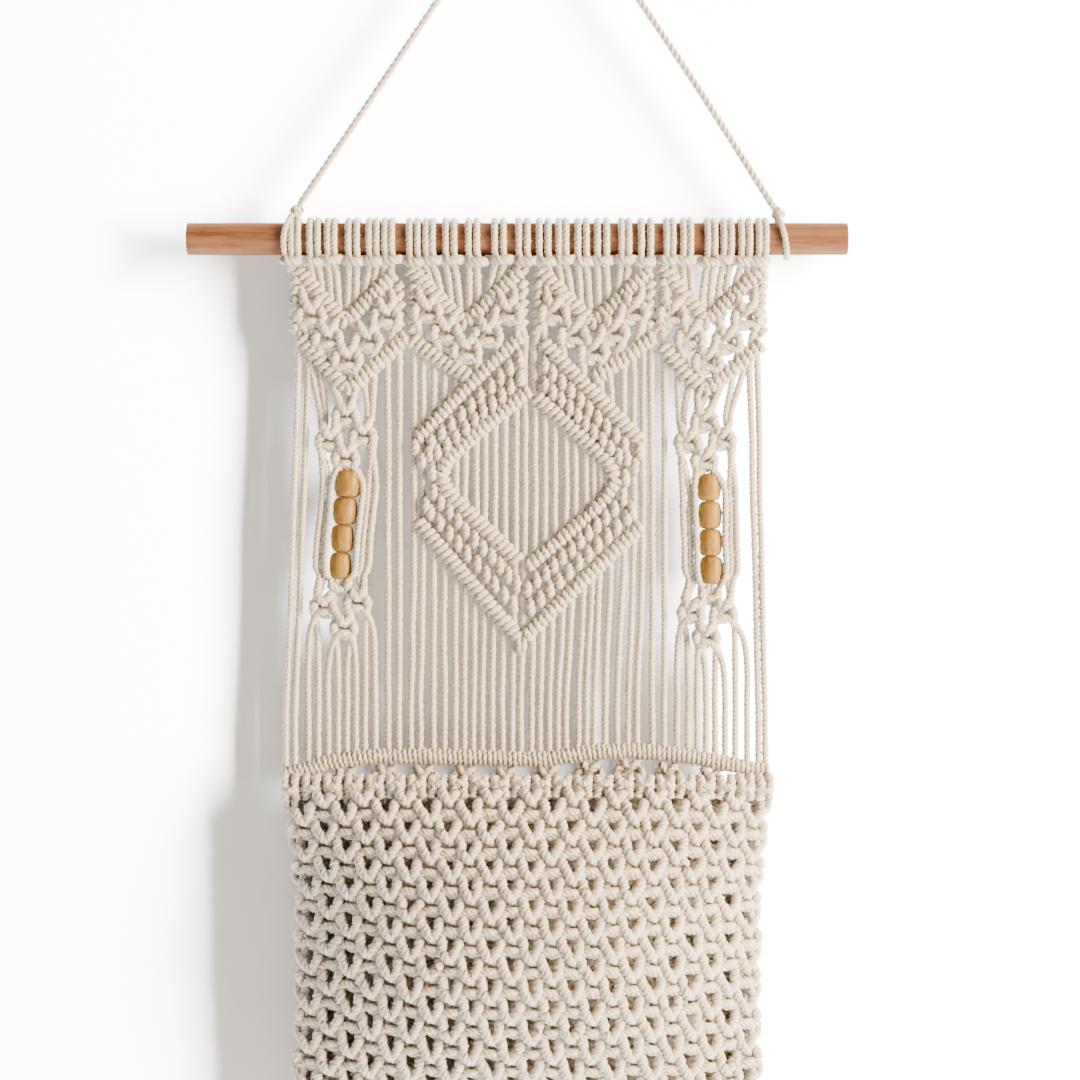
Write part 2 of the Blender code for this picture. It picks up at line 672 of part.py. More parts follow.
def main():
    clear_scene()
    parts = make_collection("macrame_wall_hanging")
    cotton = make_material("cotton_cord", COTTON, 0.9)
    rod_wood = make_material("rod_wood", ROD_WOOD, 0.5)
    bead_wood = make_material("bead_wood", BEAD_WOOD, 0.4)
    make_rod(parts).data.materials.append(rod_wood)
    cotton_pieces = [
        make_panel(parts),
        make_pocket_back(parts),
        make_pocket_front(parts),
        make_hanging_cord(parts),
        *[make_hanger_knot(*row, parts) for row in HANGER_KNOTS],
    ]
    for piece in cotton_pieces:
        piece.data.materials.clear()
        piece.data.materials.append(cotton)
    make_beads(parts, bead_wood)


main()
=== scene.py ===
"""Looks of the macrame wall hanging: each cord is laid from three plies along its own knotted path."""
import math
import random

import bmesh
import bpy
import numpy as np
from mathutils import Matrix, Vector


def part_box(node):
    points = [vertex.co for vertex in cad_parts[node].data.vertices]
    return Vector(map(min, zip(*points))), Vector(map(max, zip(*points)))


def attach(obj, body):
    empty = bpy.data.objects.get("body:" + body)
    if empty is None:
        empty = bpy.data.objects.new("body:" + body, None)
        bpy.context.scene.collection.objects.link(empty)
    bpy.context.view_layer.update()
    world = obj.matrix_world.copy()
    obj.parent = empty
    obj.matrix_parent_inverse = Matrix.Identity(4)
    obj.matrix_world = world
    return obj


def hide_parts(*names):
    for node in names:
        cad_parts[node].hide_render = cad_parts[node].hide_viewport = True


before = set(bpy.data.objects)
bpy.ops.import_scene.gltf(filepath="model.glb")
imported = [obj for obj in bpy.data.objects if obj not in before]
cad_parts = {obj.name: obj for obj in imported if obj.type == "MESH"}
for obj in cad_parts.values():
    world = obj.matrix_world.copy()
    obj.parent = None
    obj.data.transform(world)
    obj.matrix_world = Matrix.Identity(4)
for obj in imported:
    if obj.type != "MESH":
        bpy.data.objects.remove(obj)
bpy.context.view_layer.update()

MM = 0.001
rng = random.Random(24)

# ---------------------------------------------------------------------------------------------
# Sizes, in millimetres. x runs right from the panel's middle line, y back to the wall, and
# drop down from the rod's axis.
ROD_DROP = 185.0            # from the hook down to the rod's axis
PANEL_SHIFT = -6.0          # the panel's middle line, right of the hook
ROD_RADIUS = 8.0
CORD_RADIUS = 1.9           # of a hanging strand
LOOSE_RADIUS = 2.15         # of a strand above LOOSE_DROP, among the zigzags' knots
LOOSE_DROP = 62.0
HEAD_RADIUS = 1.98          # of a cord pulled tight round the rod
HEAD_BIGHT_RADIUS = 2.7     # of the same cord, where it crosses in front of its own two halves
HEAD_TAIL_RADIUS = 2.0      # of the same cord, where it leaves the rod
KNOT_RADIUS = 2.75          # of a cord in a square knot, where it lies loose
STRANDS = 48
GROUP_STRANDS = STRANDS // 4    # of one zigzag
LAY = 7.0                   # length in which the three plies of a cord turn once
PLIES = 3
PLY_DEPTH = 0.14            # how deep the groove between two plies is, as a share of the radius
STRAND_PLY_DEPTH = 0.11     # the same, of a long strand
WORN_PLY_DEPTH = 0.09       # the same, where a cord is pulled tight or rubbed smooth

# The two cords of each lark's head, where they cross the front of the rod
HEADS = (
    # left x, right x
    (-117.5, -114.0), (-108.2, -104.3), (-99.3, -96.0), (-89.0, -85.0), (-78.5, -75.0), (-71.0, -67.5),
    (-58.5, -54.5), (-50.5, -47.0), (-40.5, -36.5), (-29.0, -25.0), (-16.0, -11.8), (-4.0, 0.0),
    (6.0, 10.5), (15.8, 19.5), (25.5, 29.5), (35.0, 39.5), (47.0, 50.5), (57.0, 61.5),
    (69.5, 72.8), (78.0, 81.5), (90.2, 93.5), (98.0, 101.5), (107.0, 110.8), (115.5, 118.8),
)
# Where the same cords' two strands meet the ridge bar
STRAND_FEET = (
    (-120.5, -116.0), (-109.5, -104.5), (-99.5, -94.5), (-90.0, -85.5), (-81.0, -76.0), (-69.5, -64.0),
    (-58.0, -53.5), (-47.0, -41.5), (-36.0, -31.5), (-27.0, -22.5), (-17.5, -12.5), (-7.5, -3.0),
    (2.0, 6.5), (11.0, 15.5), (19.5, 25.5), (29.5, 33.5), (39.0, 45.0), (50.5, 55.0),
    (62.5, 68.5), (75.0, 80.5), (85.0, 89.5), (94.0, 99.0), (104.0, 110.0), (115.5, 119.0),
)
# How far right of its foot a strand of the two middle groups hangs beside the diamond
DRIFT = (
    (1.5, 1.5, 0.5, 0.0, 0.5, 0.5, 1.5, 1.5, 1.5, 1.5, 2.0, 2.0),
    (2.0, 2.5, 3.0, 4.0, 4.5, 4.0, 4.0, 3.5, 3.0, 3.5, 3.0, 3.0),
)
# How far right of its foot an outermost strand (group, rank) hangs, LEAN_HEIGHT above LEAN_FOOT
LEAN_IN = {(0, 0): 6.5, (0, 1): 6.5, (3, 10): -4.0, (3, 11): -4.0}
LEAN_FOOT = 240.0           # the drop where it has come back to its foot's x
LEAN_HEIGHT = 180.0

# The zigzags: bars of hitches, as corners (x, drop)
ZIGZAG_UPPER = (
    ((-117.0, 12.5), (-104.0, 28.0), (-91.0, 41.5), (-78.5, 30.0), (-66.5, 16.5)),
    ((-58.5, 14.5), (-44.5, 30.0), (-31.0, 42.5), (-17.0, 29.5), (-3.5, 15.5)),
    ((6.0, 15.0), (19.0, 29.0), (32.5, 42.5), (47.5, 29.0), (61.5, 15.0)),
    ((67.5, 13.0), (78.0, 28.0), (89.5, 41.5), (104.0, 28.0), (118.0, 13.5)),
)
ZIGZAG_LOWER = (
    ((-113.0, 49.0), (-101.0, 63.0), (-90.0, 75.5), (-75.0, 62.0), (-60.0, 48.5)),
    ((-58.0, 50.0), (-44.0, 60.0), (-29.0, 69.0)),
    ((33.0, 69.5), (48.5, 59.5), (63.5, 48.5)),
    ((67.5, 53.0), (78.0, 66.0), (88.5, 76.0), (103.0, 64.5), (117.5, 52.0)),
)
# The five square knots in each zigzag, from left to right
ZIGZAG_KNOTS = (
    # x, drop
    ((-108.0, 38.0), (-99.5, 49.5), (-90.0, 60.0), (-80.0, 50.5), (-70.5, 38.5)),
    ((-50.0, 36.0), (-40.5, 46.5), (-30.5, 55.5), (-20.0, 47.5), (-10.0, 36.5)),
    ((13.5, 36.5), (23.0, 47.5), (33.0, 56.0), (43.0, 46.5), (53.0, 36.0)),
    ((72.5, 37.5), (81.5, 49.5), (90.0, 61.0), (100.0, 51.0), (109.5, 39.0)),
)
# Short chains of hitches at the zigzags' ends: x, upper drop, lower drop
CHAINS = (
    (-115.5, 19.0, 46.0), (-64.5, 22.0, 46.0), (-57.0, 22.0, 47.0), (-2.5, 21.0, 45.0),
    (5.5, 21.0, 47.0), (61.5, 21.0, 45.0), (68.0, 20.0, 49.0), (117.5, 19.0, 49.0),
)

# The diamond's bars
DIAMOND_BARS = (
    ((-3.0, 48.5), (-29.0, 73.5), (-55.0, 100.0)),
    ((8.0, 51.5), (32.0, 76.0), (56.0, 100.5)),
    ((1.5, 75.5), (-20.0, 92.5), (-39.0, 109.5), (-43.5, 118.5), (-40.0, 126.5), (-23.0, 143.0), (-4.0, 161.0)),
    ((4.5, 78.5), (23.0, 95.0), (41.0, 111.5), (44.5, 121.0), (38.5, 131.0), (20.0, 147.5), (0.0, 164.0)),
    ((-54.5, 140.5), (-30.0, 169.5), (-4.0, 199.5)),
    ((57.5, 143.0), (28.0, 170.5), (-1.0, 198.5)),
)
# The diamond's four bands of long hitches: the two bars that each lies between
BANDS = (
    # outer start (x, drop), outer end, inner start, inner end, hitches in each of the two rows
    ((-3.0, 48.5), (-55.0, 100.0), (1.5, 75.5), (-41.0, 111.5), 10),
    ((8.0, 51.5), (56.0, 100.5), (4.5, 78.5), (42.5, 113.5), 10),
    ((-54.5, 140.5), (-4.0, 199.5), (-42.0, 122.0), (-4.0, 161.0), 10),
    ((57.5, 143.0), (-1.0, 198.5), (42.0, 126.0), (0.0, 164.0), 11),
)
ROW_SHARES = (0.35, 0.67)   # where the two rows lie between the outer and the inner bar
SIDE_HITCHES = (
    # x, drop, of the single long hitches at the diamond's two side corners
    (-55.5, 103.5), (-48.5, 107.0), (-52.5, 110.5), (-47.5, 116.5), (-50.5, 133.5), (-46.5, 126.5),
    (56.5, 105.5), (50.0, 109.5), (54.0, 113.5), (49.0, 119.0), (52.5, 135.5), (48.0, 129.0),
)
TIP = (-2.8, 202.5)         # x, drop, of the knot where the diamond's lower bands end

# The side motifs, left and right: the middles (x, drop) of the four square knots above the beads,
# top, left, right and bottom, and of the four below them
MOTIF_TOPS = (
    ((-90.5, 88.3), (-98.7, 100.5), (-81.9, 97.8), (-90.7, 109.3)),
    ((88.6, 90.7), (80.5, 101.0), (97.4, 99.8), (88.6, 110.5)),
)
MOTIF_FEET = (
    ((-93.6, 172.6), (-101.6, 183.6), (-84.8, 181.4), (-91.4, 194.0)),
    ((91.5, 177.3), (81.8, 186.4), (98.0, 186.4), (89.4, 198.6)),
)
# The three strands left of the beads and the three right of them, from the beads outward, on the
# left side and on the right: distance from the beads' middle, and y
BESIDE_BEADS = (
    ((-7.6, -3.2), (-9.3, -1.0), (-12.4, -1.6), (7.6, -3.2), (10.6, -1.2), (14.0, -1.6)),
    ((-7.2, -3.2), (-10.2, -1.2), (-13.4, -1.6), (7.3, -3.2), (10.2, -1.2), (13.0, -1.6)),
)
# The beads of both rows from the top: x, drop, width and height of the left one, then of the right
BEADS = (
    (-89.6, 122.3, 13.6, 13.6, 91.0, 124.1, 12.2, 13.6),
    (-90.8, 136.0, 12.5, 13.4, 91.4, 138.0, 12.0, 13.6),
    (-92.2, 149.7, 11.6, 13.4, 91.8, 151.8, 11.8, 13.4),
    (-93.2, 163.4, 11.1, 13.2, 92.2, 165.5, 11.8, 13.7),
)
BEAD_BORE = 2.6             # radius
BEAD_SHOULDER = 0.74        # radius of a bead's end as a share of its belly's

RIDGE_ARCH = (
    # x, drop
    (-121.0, 268.0), (-114.5, 266.3), (-96.0, 261.0), (-78.0, 258.6), (-52.0, 258.6), (-30.0, 259.2),
    (8.0, 260.4), (30.0, 256.8), (52.0, 255.6), (78.0, 258.0), (100.0, 262.3), (121.0, 266.5),
)

# The pocket
NET_COLUMNS = 24            # half steps from knot to knot across
NET_ROWS = 18
PANEL_WIDTH = 242.0         # at the ridge bar
RIM_DROP = 273.5
POCKET_HEIGHT = 170.5
RIM_DEPTH = 13.0            # how far the rim's middle stands forward
BELLY = 30.0                # what the bulge adds to that at half height
BULGE_ACROSS = 2.2          # power of the bulge from side to side: more is boxier
BULGE_DOWN = 0.8            # power of the bulge from rim to foot: less is boxier
NET_RISE = 4.8              # how far its middle rows are pulled up
NET_ASIDE = 2.2             # how far right the net has slipped
CELL_WIDTH = 10.0           # of a net's half step across
CELL_HEIGHT = POCKET_HEIGHT / NET_ROWS
BACK_CELL_HEIGHT = 9.6
KNOT_SAG = 0.27             # how far below its row's line a knot's middle lies, in rows
EDGE_TURN = 0.1             # radians; how far the columns turn away at the sides, crowding them there
FACE_STEP = 0.01            # of u and v, for the slope of a net's face
FACE_GAP = 0.3              # between the back net's front face and the front net's inner face
BACK_FACE = -1.2            # y of the back net's front face
NET_LIFT = 3.7              # of the middle of a front knot off that net's inner face
BACK_LIFT = 2.4             # of the middle of a back knot behind that net's front face
RIM_LIFT = 2.4              # of the rim's cord off the front net's inner face
RIM_ROW = -0.15             # where the rim's cord runs, in rows below the pocket's rim
POCKET_OUTLINE = (
    # share of the height, half width
    (0.0, 122.0), (0.15, 118.0), (0.35, 114.0), (0.70, 114.5), (1.0, 118.0),
)

# The hanging cord: x and height above the rod's axis, chosen from knot to knot
CORD_ROUTE = (
    (-112.6, 18.9), (-73.0, 77.2), (-33.4, 135.9), (-3.6, 180.1), (0.2, 185.2), (6.0, 187.0),
    (11.8, 185.2), (15.6, 180.1), (45.1, 135.9), (84.2, 77.4), (123.4, 15.8),
)
HANGING_DIAMETER = 4.0
HANGING_LAY = 11.0          # the length of one turn of its plies
COIL_TURNS = 2              # of each end round the standing cord
COIL_RADIUS = 1.75          # of the coil's own way
COIL_PITCH = 1.7            # of one turn
HANGER_KNOTS = (
    # side, the loop round the rod as (turn from the top towards the viewer, x, reach), the knot's
    # middle (x, drop), its tilt in degrees, and where the cord leaves it (x, drop)
    ("left", ((-40, -117.6, 12.6), (20, -117.4, 12.0), (52, -119.4, 10.4), (80, -120.6, 9.8), (110, -121.0, 9.7),
              (145, -120.7, 9.7), (180, -120.4, 9.7), (220, -120.3, 9.7), (265, -120.2, 9.7), (310, -119.0, 11.0)),
     (-115.2, -13.8), 35.0, (-111.9, -19.9)),
    ("right", ((-40, 125.4, 11.6), (15, 125.6, 11.4), (48, 126.6, 10.0), (75, 127.6, 9.7), (105, 128.6, 9.6),
               (140, 129.5, 9.6), (180, 129.9, 9.6), (220, 129.7, 9.6), (265, 128.8, 9.6), (310, 126.8, 10.6)),
     (125.4, -12.4), -50.0, (122.6, -17.2)),
)

# A square knot's four cords, in its own millimetres: across, down, towards the viewer, and the
# cord's share of its full thickness. The outer cords come from the knots above as the two limbs of
# a V; the left one goes on into the bar below it, where it lies tight, and the inner cords bulge
# out at the knot's sides before they leave.
KNOT_PATHS = {
    "left": ((-3.8, -7.6, 3.2, 0.93), (-2.9, -6.0, 3.8, 1.0), (-1.6, -4.4, 4.0, 1.05), (-0.3, -2.9, 3.7, 1.0),
             (1.0, -1.7, 2.2, 0.85), (2.4, -0.6, 0.6, 0.8), (3.8, 0.8, 0.2, 0.76), (4.3, 2.2, 1.2, 0.75),
             (2.6, 3.0, 2.8, 0.75), (0.2, 3.2, 3.3, 0.78), (-2.4, 3.3, 3.0, 0.78), (-4.3, 4.4, 2.5, 0.85)),
    "inner_left": ((-4.0, -4.9, 2.0, 0.85), (-2.4, -3.4, 0.4, 0.8), (-1.8, -1.4, -1.4, 0.8), (-3.4, -2.6, -0.4, 0.85),
                   (-4.8, -3.0, 1.6, 0.92), (-5.5, -1.6, 2.7, 1.0), (-5.9, 0.0, 3.1, 1.0), (-6.2, 1.5, 3.2, 0.97)),
    "right": ((3.8, -7.4, 3.2, 0.93), (2.8, -5.9, 3.7, 1.0), (1.9, -4.5, 3.6, 1.0), (1.1, -3.2, 2.4, 0.95),
              (0.3, -1.9, 0.4, 0.85), (-1.4, 0.2, -1.6, 0.85), (-2.2, 2.4, -1.0, 0.9), (-0.6, 4.9, 0.4, 0.85),
              (2.0, 5.0, 1.6, 0.82), (4.3, 4.6, 2.3, 0.85)),
}
# The knot right under the beads, whose outer cords come straight down beside them.
UNDER_BEADS = {
    "left": ((-5.6, -4.5, 0.5, 0.75), (-5.0, -1.2, 2.4, 0.9), (-4.4, 1.0, 3.1, 1.0), (-1.8, 2.5, 3.4, 0.8),
             (1.6, 2.7, 3.1, 0.8), (3.6, 3.0, 1.2, 0.8), (1.6, 4.4, -1.2, 0.8), (-2.2, 4.6, -0.6, 0.85),
             (-4.5, 5.4, 1.5, 0.85)),
    "inner_left": ((-1.3, -3.0, 0.6, 0.75), (-1.5, -0.2, 0.8, 0.8), (-2.0, 2.6, 0.2, 0.8), (-4.0, 5.4, 1.4, 0.9),
                   (-5.8, 6.4, 2.4, 0.95)),
    "right": ((5.6, -4.5, 0.5, 0.75), (5.0, -1.4, 2.6, 0.95), (4.8, 1.4, 3.4, 1.05), (4.3, 3.8, 2.6, 0.95),
              (4.5, 5.6, 1.8, 0.85)),
}
for table in (KNOT_PATHS, UNDER_BEADS):
    table["inner_right"] = tuple((-across, *rest) for across, *rest in table["inner_left"])
ROLES = ("left", "inner_left", "inner_right", "right")
MIRRORED = dict(zip(ROLES, reversed(ROLES)))
# The knots that each pair of neighbouring strands goes through, from the group's left: (the knot's
# number, the rank of its leftmost strand), in its zigzag and in each of its side's two motifs
ZIGZAG_TIES = (((0, 0),), ((0, 0), (1, 2)), ((1, 2), (2, 4)), ((3, 6), (2, 4)), ((4, 8), (3, 6)), ((4, 8),))
MOTIF_TIES = ((), ((1, 2),), ((0, 4), (1, 2), (3, 4)), ((0, 4), (2, 6), (3, 4)), ((2, 6),), ())

# The stage, in metres: the wall right behind the hanging, a floor, and the eye's place
WALL_Y = 0.0135
WALL_HALF_WIDTH = 1.6
WALL_TOP = 1.2
FLOOR_Z = -1.5
FLOOR_HALF = 6.0
EYE = (0.0005, -1.5, -0.3355)
LENS = 100.0                # millimetres, on a sensor 36 wide
AIM = (0.0, 0.0, -0.35)     # what the lights look at


# ---------------------------------------------------------------------------------------------
# Node trees written as expressions

class Wire:
    """One output socket of a node tree, with the arithmetic that the patterns use."""

    def __init__(self, tree, socket):
        self.tree = tree
        self.socket = socket

    def calculate(self, operation, *others, clamp=False):
        values = dict(enumerate((self, *others)))
        return self.tree.node("ShaderNodeMath", {"operation": operation, "use_clamp": clamp}, values)

    def __add__(self, other):
        return self.calculate("ADD", other)

    __radd__ = __add__

    def __mul__(self, other):
        return self.calculate("MULTIPLY", other)

    __rmul__ = __mul__

    def __sub__(self, other):
        return self.calculate("SUBTRACT", other)

    def __rsub__(self, other):
        return (self * -1.0) + other

    def __truediv__(self, other):
        return self.calculate("DIVIDE", other)

    def __pow__(self, other):
        return self.calculate("POWER", other)

    def clamped(self):
        return self.calculate("ADD", 0.0, clamp=True)


class Tree:
    """A node tree, and the one way in which nodes are added to it."""

    def __init__(self, nodes):
        self.nodes = nodes

    def node(self, kind, settings=None, sockets=None, output=0):
        made = self.nodes.nodes.new(kind)
        for name, value in (settings or {}).items():
            if name == "stops":
                ramp = made.color_ramp.elements
                for position, color in value[2:]:
                    ramp.new(position)
                for element, (position, color) in zip(sorted(ramp, key=lambda e: e.position), sorted(value)):
                    element.position = position
                    element.color = (*color, 1.0)
            else:
                setattr(made, name, value)
        for key, value in (sockets or {}).items():
            if isinstance(value, Wire):
                self.nodes.links.new(value.socket, made.inputs[key])
            else:
                made.inputs[key].default_value = value
        return Wire(self, made.outputs[output])

    def noise(self, spot, scale, detail, roughness=0.5, distortion=0.0):
        return self.node("ShaderNodeTexNoise", None, {"Vector": spot, "Scale": scale, "Detail": detail,
                                                      "Roughness": roughness, "Distortion": distortion})


def laid_cord_tree():
    """Sweeps a lobed section with a twist along each spline, and notes where the grooves are."""
    nodes = bpy.data.node_groups.new("laid cord", "GeometryNodeTree")
    nodes.is_modifier = True
    face = nodes.interface
    face.new_socket("Cords", in_out="INPUT", socket_type="NodeSocketGeometry")
    for name, kind, value in (("Step", "NodeSocketFloat", 1.5 * MM), ("Lay", "NodeSocketFloat", LAY * MM),
                              ("Sides", "NodeSocketInt", 6), ("Ply depth", "NodeSocketFloat", PLY_DEPTH),
                              ("Cotton", "NodeSocketMaterial", None)):
        socket = face.new_socket(name, in_out="INPUT", socket_type=kind)
        if value is not None:
            socket.default_value = value
    face.new_socket("Mesh", in_out="OUTPUT", socket_type="NodeSocketGeometry")
    tree = Tree(nodes)
    group = nodes.nodes.new("NodeGroupInput")
    cords, step, lay, sides, depth, cotton = [Wire(tree, socket) for socket in group.outputs[:6]]

    smooth = tree.node("GeometryNodeCurveSplineType", {"spline_type": "CATMULL_ROM"}, {"Curve": cords})
    smooth = tree.node("GeometryNodeSetSplineResolution", None, {"Geometry": smooth, "Resolution": 6})
    even = tree.node("GeometryNodeResampleCurve", {"mode": "LENGTH"}, {"Curve": smooth, "Length": step})
    run = tree.node("GeometryNodeSplineParameter", output=1)
    start = tree.node("GeometryNodeInputCurveTilt")
    turned = tree.node("GeometryNodeSetCurveTilt", None,
                       {"Curve": even, "Tilt": start + run * (2 * math.pi) / lay})
    marked = tree.node("GeometryNodeStoreNamedAttribute", {"data_type": "FLOAT", "domain": "POINT"},
                       {"Geometry": turned, "Name": "run", "Value": run})

    ring = tree.node("GeometryNodeCurvePrimitiveCircle", {"mode": "RADIUS"}, {"Resolution": sides, "Radius": 1.0})
    spot = tree.node("GeometryNodeInputPosition")
    x = tree.node("ShaderNodeSeparateXYZ", None, {"Vector": spot}, 0)
    y = tree.node("ShaderNodeSeparateXYZ", None, {"Vector": spot}, 1)
    crest = (y.calculate("ARCTAN2", x) * PLIES).calculate("COSINE")
    noted = tree.node("GeometryNodeStoreNamedAttribute", {"data_type": "FLOAT", "domain": "POINT"},
                      {"Geometry": ring, "Name": "groove", "Value": 0.5 - crest * 0.5})
    noted = tree.node("GeometryNodeStoreNamedAttribute", {"data_type": "FLOAT_VECTOR", "domain": "POINT"},
                      {"Geometry": noted, "Name": "around", "Value": spot})
    lobed = tree.node("ShaderNodeVectorMath", {"operation": "SCALE"},
                      {"Vector": spot, "Scale": crest * depth + (1.0 - depth)})
    section = tree.node("GeometryNodeSetPosition", None, {"Geometry": noted, "Position": lobed})

    radius = tree.node("GeometryNodeInputRadius")
    where = tree.node("GeometryNodeInputPosition")
    swell = tree.noise(where, 260.0, 1.0)
    radius = radius * (swell * 0.3 + 0.85)
    mesh = tree.node("GeometryNodeCurveToMesh", None, {"Curve": marked, "Profile Curve": section,
                                                       "Scale": radius, "Fill Caps": True})
    mesh = tree.node("GeometryNodeSetShadeSmooth", None, {"Geometry": mesh, "Shade Smooth": True})
    mesh = tree.node("GeometryNodeRealizeInstances", None, {"Geometry": mesh})
    mesh = tree.node("GeometryNodeSetMaterial", None, {"Geometry": mesh, "Material": cotton})
    end = nodes.nodes.new("NodeGroupOutput")
    nodes.links.new(mesh.socket, end.inputs["Mesh"])
    return nodes


# ---------------------------------------------------------------------------------------------
# Materials

def new_material(name):
    material = bpy.data.materials.new(name)
    material.use_nodes = True
    tree = Tree(material.node_tree)
    shader = material.node_tree.nodes["Principled BSDF"]
    return material, tree, shader


def drive(tree, shader, **sockets):
    """Give the shader's inputs, named with _ for each space, a wire or a plain value."""
    for name, value in sockets.items():
        target = shader.inputs[name.replace("_", " ")]
        if isinstance(value, Wire):
            tree.nodes.links.new(value.socket, target)
        else:
            target.default_value = value


def mix_colors(tree, share, first, second):
    return tree.node("ShaderNodeMix", {"data_type": "RGBA"}, {0: share, 6: first, 7: second}, 2)


def cotton_material(name, light, shade):
    """Soft spun cotton: three plies with fine fibres along them, and painted shade, darker and warmer, in the grooves
    between the plies.
    """
    material, tree, shader = new_material(name)
    groove = tree.node("ShaderNodeAttribute", {"attribute_name": "groove"}, output=2)
    around = tree.node("ShaderNodeAttribute", {"attribute_name": "around"}, output=1)
    run = tree.node("ShaderNodeAttribute", {"attribute_name": "run"}, output=2)
    place = tree.node("ShaderNodeTexCoord", output=3)
    along = tree.node("ShaderNodeCombineXYZ", None, {"X": run * 120.0, "Y": run * 60.0, "Z": run * 90.0})
    fibre_spot = tree.node("ShaderNodeVectorMath", {"operation": "MULTIPLY_ADD"},
                           {0: around, 1: (9.0, 9.0, 9.0), 2: along})
    fibres = tree.noise(fibre_spot, 1.0, 3.0, 0.6)
    fuzz = tree.noise(place, 1400.0, 2.0, 0.7)
    tone = tree.noise(place, 42.0, 3.0, 0.55)
    # the darker colour is painted shade in the grooves between plies, mixed with real darker fibres and a tone that
    # varies at random
    deep = (groove ** 1.6 * 0.55 + fibres * 0.75 + tone * 0.6 - 0.68).clamped()
    color = mix_colors(tree, deep, (*light, 1.0), (*shade, 1.0))
    height = fibres * 0.5 + fuzz * 0.5 - groove * 0.6
    bump = tree.node("ShaderNodeBump", None, {"Strength": 0.9, "Distance": 0.45 * MM, "Height": height})
    drive(tree, shader, Roughness=0.95, Sheen_Weight=0.08, Sheen_Roughness=0.5, Specular_IOR_Level=0.1,
          Base_Color=color, Normal=bump)
    return material


def wood_material(name, light, middle, dark, stretch, scale, coat):
    """Straight-grained wood: long streaks, fine pores and a slow change of tone."""
    material, tree, shader = new_material(name)
    place = tree.node("ShaderNodeTexCoord", output=3)
    grain_spot = tree.node("ShaderNodeMapping", None, {"Vector": place, "Scale": stretch})
    wobble = tree.noise(grain_spot, scale * 0.25, 2.0)
    streaks = tree.noise(grain_spot, scale, 5.0, 0.62, 0.4)
    pores = tree.noise(grain_spot, scale * 5.0, 2.0)
    pattern = (streaks * 1.3 + wobble * 0.45 - 0.72 + pores * 0.7).clamped()
    color = tree.node("ShaderNodeValToRGB", {"stops": [(0.25, dark), (0.75, light), (0.5, middle)]},
                      {"Fac": pattern})
    bump = tree.node("ShaderNodeBump", None, {"Strength": 0.2, "Distance": 0.2 * MM, "Height": streaks + pores * 0.5})
    drive(tree, shader, Specular_IOR_Level=0.0, Coat_Weight=coat, Coat_Roughness=0.3,
          Base_Color=color, Normal=bump, Roughness=0.62 - streaks * 0.2)
    return material


# the cotton's own colour, then the darker colour that paints shade in the grooves and darkens some fibres
COTTON = cotton_material("spun cotton", (0.68, 0.615, 0.53), (0.33, 0.30, 0.26))
ROD_WOOD = wood_material("reddish rod wood", (0.19, 0.096, 0.053), (0.155, 0.073, 0.04), (0.107, 0.046, 0.024),
                         (0.05, 1.0, 1.0), 420.0, 0.0)
BEAD_WOOD = wood_material("golden bead wood", (0.28, 0.175, 0.05), (0.23, 0.13, 0.031), (0.15, 0.076, 0.017),
                          (1.0, 1.0, 0.14), 420.0, 0.25)
LAID_CORD = laid_cord_tree()


# ---------------------------------------------------------------------------------------------
# Pieces

def place(points):
    """Panel millimetres (x, y, drop) to metres in the shared frame."""
    points = np.asarray(points, float).reshape(-1, 3)
    return np.column_stack((PANEL_SHIFT + points[:, 0], points[:, 1], -ROD_DROP - points[:, 2])) * MM


def new_object(name, data):
    made = bpy.data.objects.new(name, data)
    bpy.context.scene.collection.objects.link(made)
    return made


def shown_piece(name, mesh, slot, *nodes):
    """Put a finished mesh in the scene as a piece that rides on the hanging."""
    mesh.name = name
    piece = new_object(name, mesh)
    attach(piece, "root")
    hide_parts(*nodes)
    return piece


def lay_cords(name, cords, *nodes, step=1.5, sides=6, depth=PLY_DEPTH, lay=LAY):
    """Make one mesh of all the cords, each given as its points and its radius, in panel millimetres."""
    curve = bpy.data.curves.new(name, "CURVE")
    curve.dimensions = "3D"
    for points, radius in cords:
        spots = place(points)
        spline = curve.splines.new("POLY")
        spline.points.add(len(spots) - 1)
        spline.points.foreach_set("co", np.column_stack((spots, np.ones(len(spots)))).ravel())
        spline.points.foreach_set("radius", np.broadcast_to(np.asarray(radius, float) * MM, len(spots)).copy())
        spline.points.foreach_set("tilt", np.full(len(spots), rng.uniform(0.0, 2 * math.pi)))
    source = new_object(name + "_lines", curve)
    modifier = source.modifiers.new("laid cord", "NODES")
    modifier.node_group = LAID_CORD
    inputs = {item.name: item.identifier for item in LAID_CORD.interface.items_tree if item.in_out == "INPUT"}
    for label, value in (("Step", step * MM), ("Lay", lay * MM), ("Sides", sides), ("Ply depth", depth),
                         ("Cotton", COTTON)):
        modifier[inputs[label]] = value
    bpy.context.view_layer.update()
    mesh = bpy.data.meshes.new_from_object(source.evaluated_get(bpy.context.evaluated_depsgraph_get()))
    bpy.data.objects.remove(source)
    return shown_piece(name, mesh, "cotton_cord", *nodes)


def jitter(amount):
    return rng.uniform(-amount, amount)


def knot_cord(role, first, table=KNOT_PATHS):
    """The way of one cord through a square knot that its left cord starts, or else its mirror image."""
    if first == "left":
        return table[role]
    return [(-across, *rest) for across, *rest in table[MIRRORED[role]]]


def knot_path(role, middle, first="left", wide=1.0, above=1.0, below=1.1, y=-1.0, deep=0.8, table=KNOT_PATHS):
    """The way of one cord through a square knot at (x, drop), as panel points with a radius."""
    return [(middle[0] + across * wide, y - near * deep, middle[1] + down * (above if down < 0 else below),
             KNOT_RADIUS * thick) for across, down, near, thick in knot_cord(role, first, table)]


def lengths_along(points):
    """The length of a line of points from its start to each of them."""
    return np.concatenate(([0.0], np.cumsum(np.linalg.norm(np.diff(points, axis=0), axis=1))))


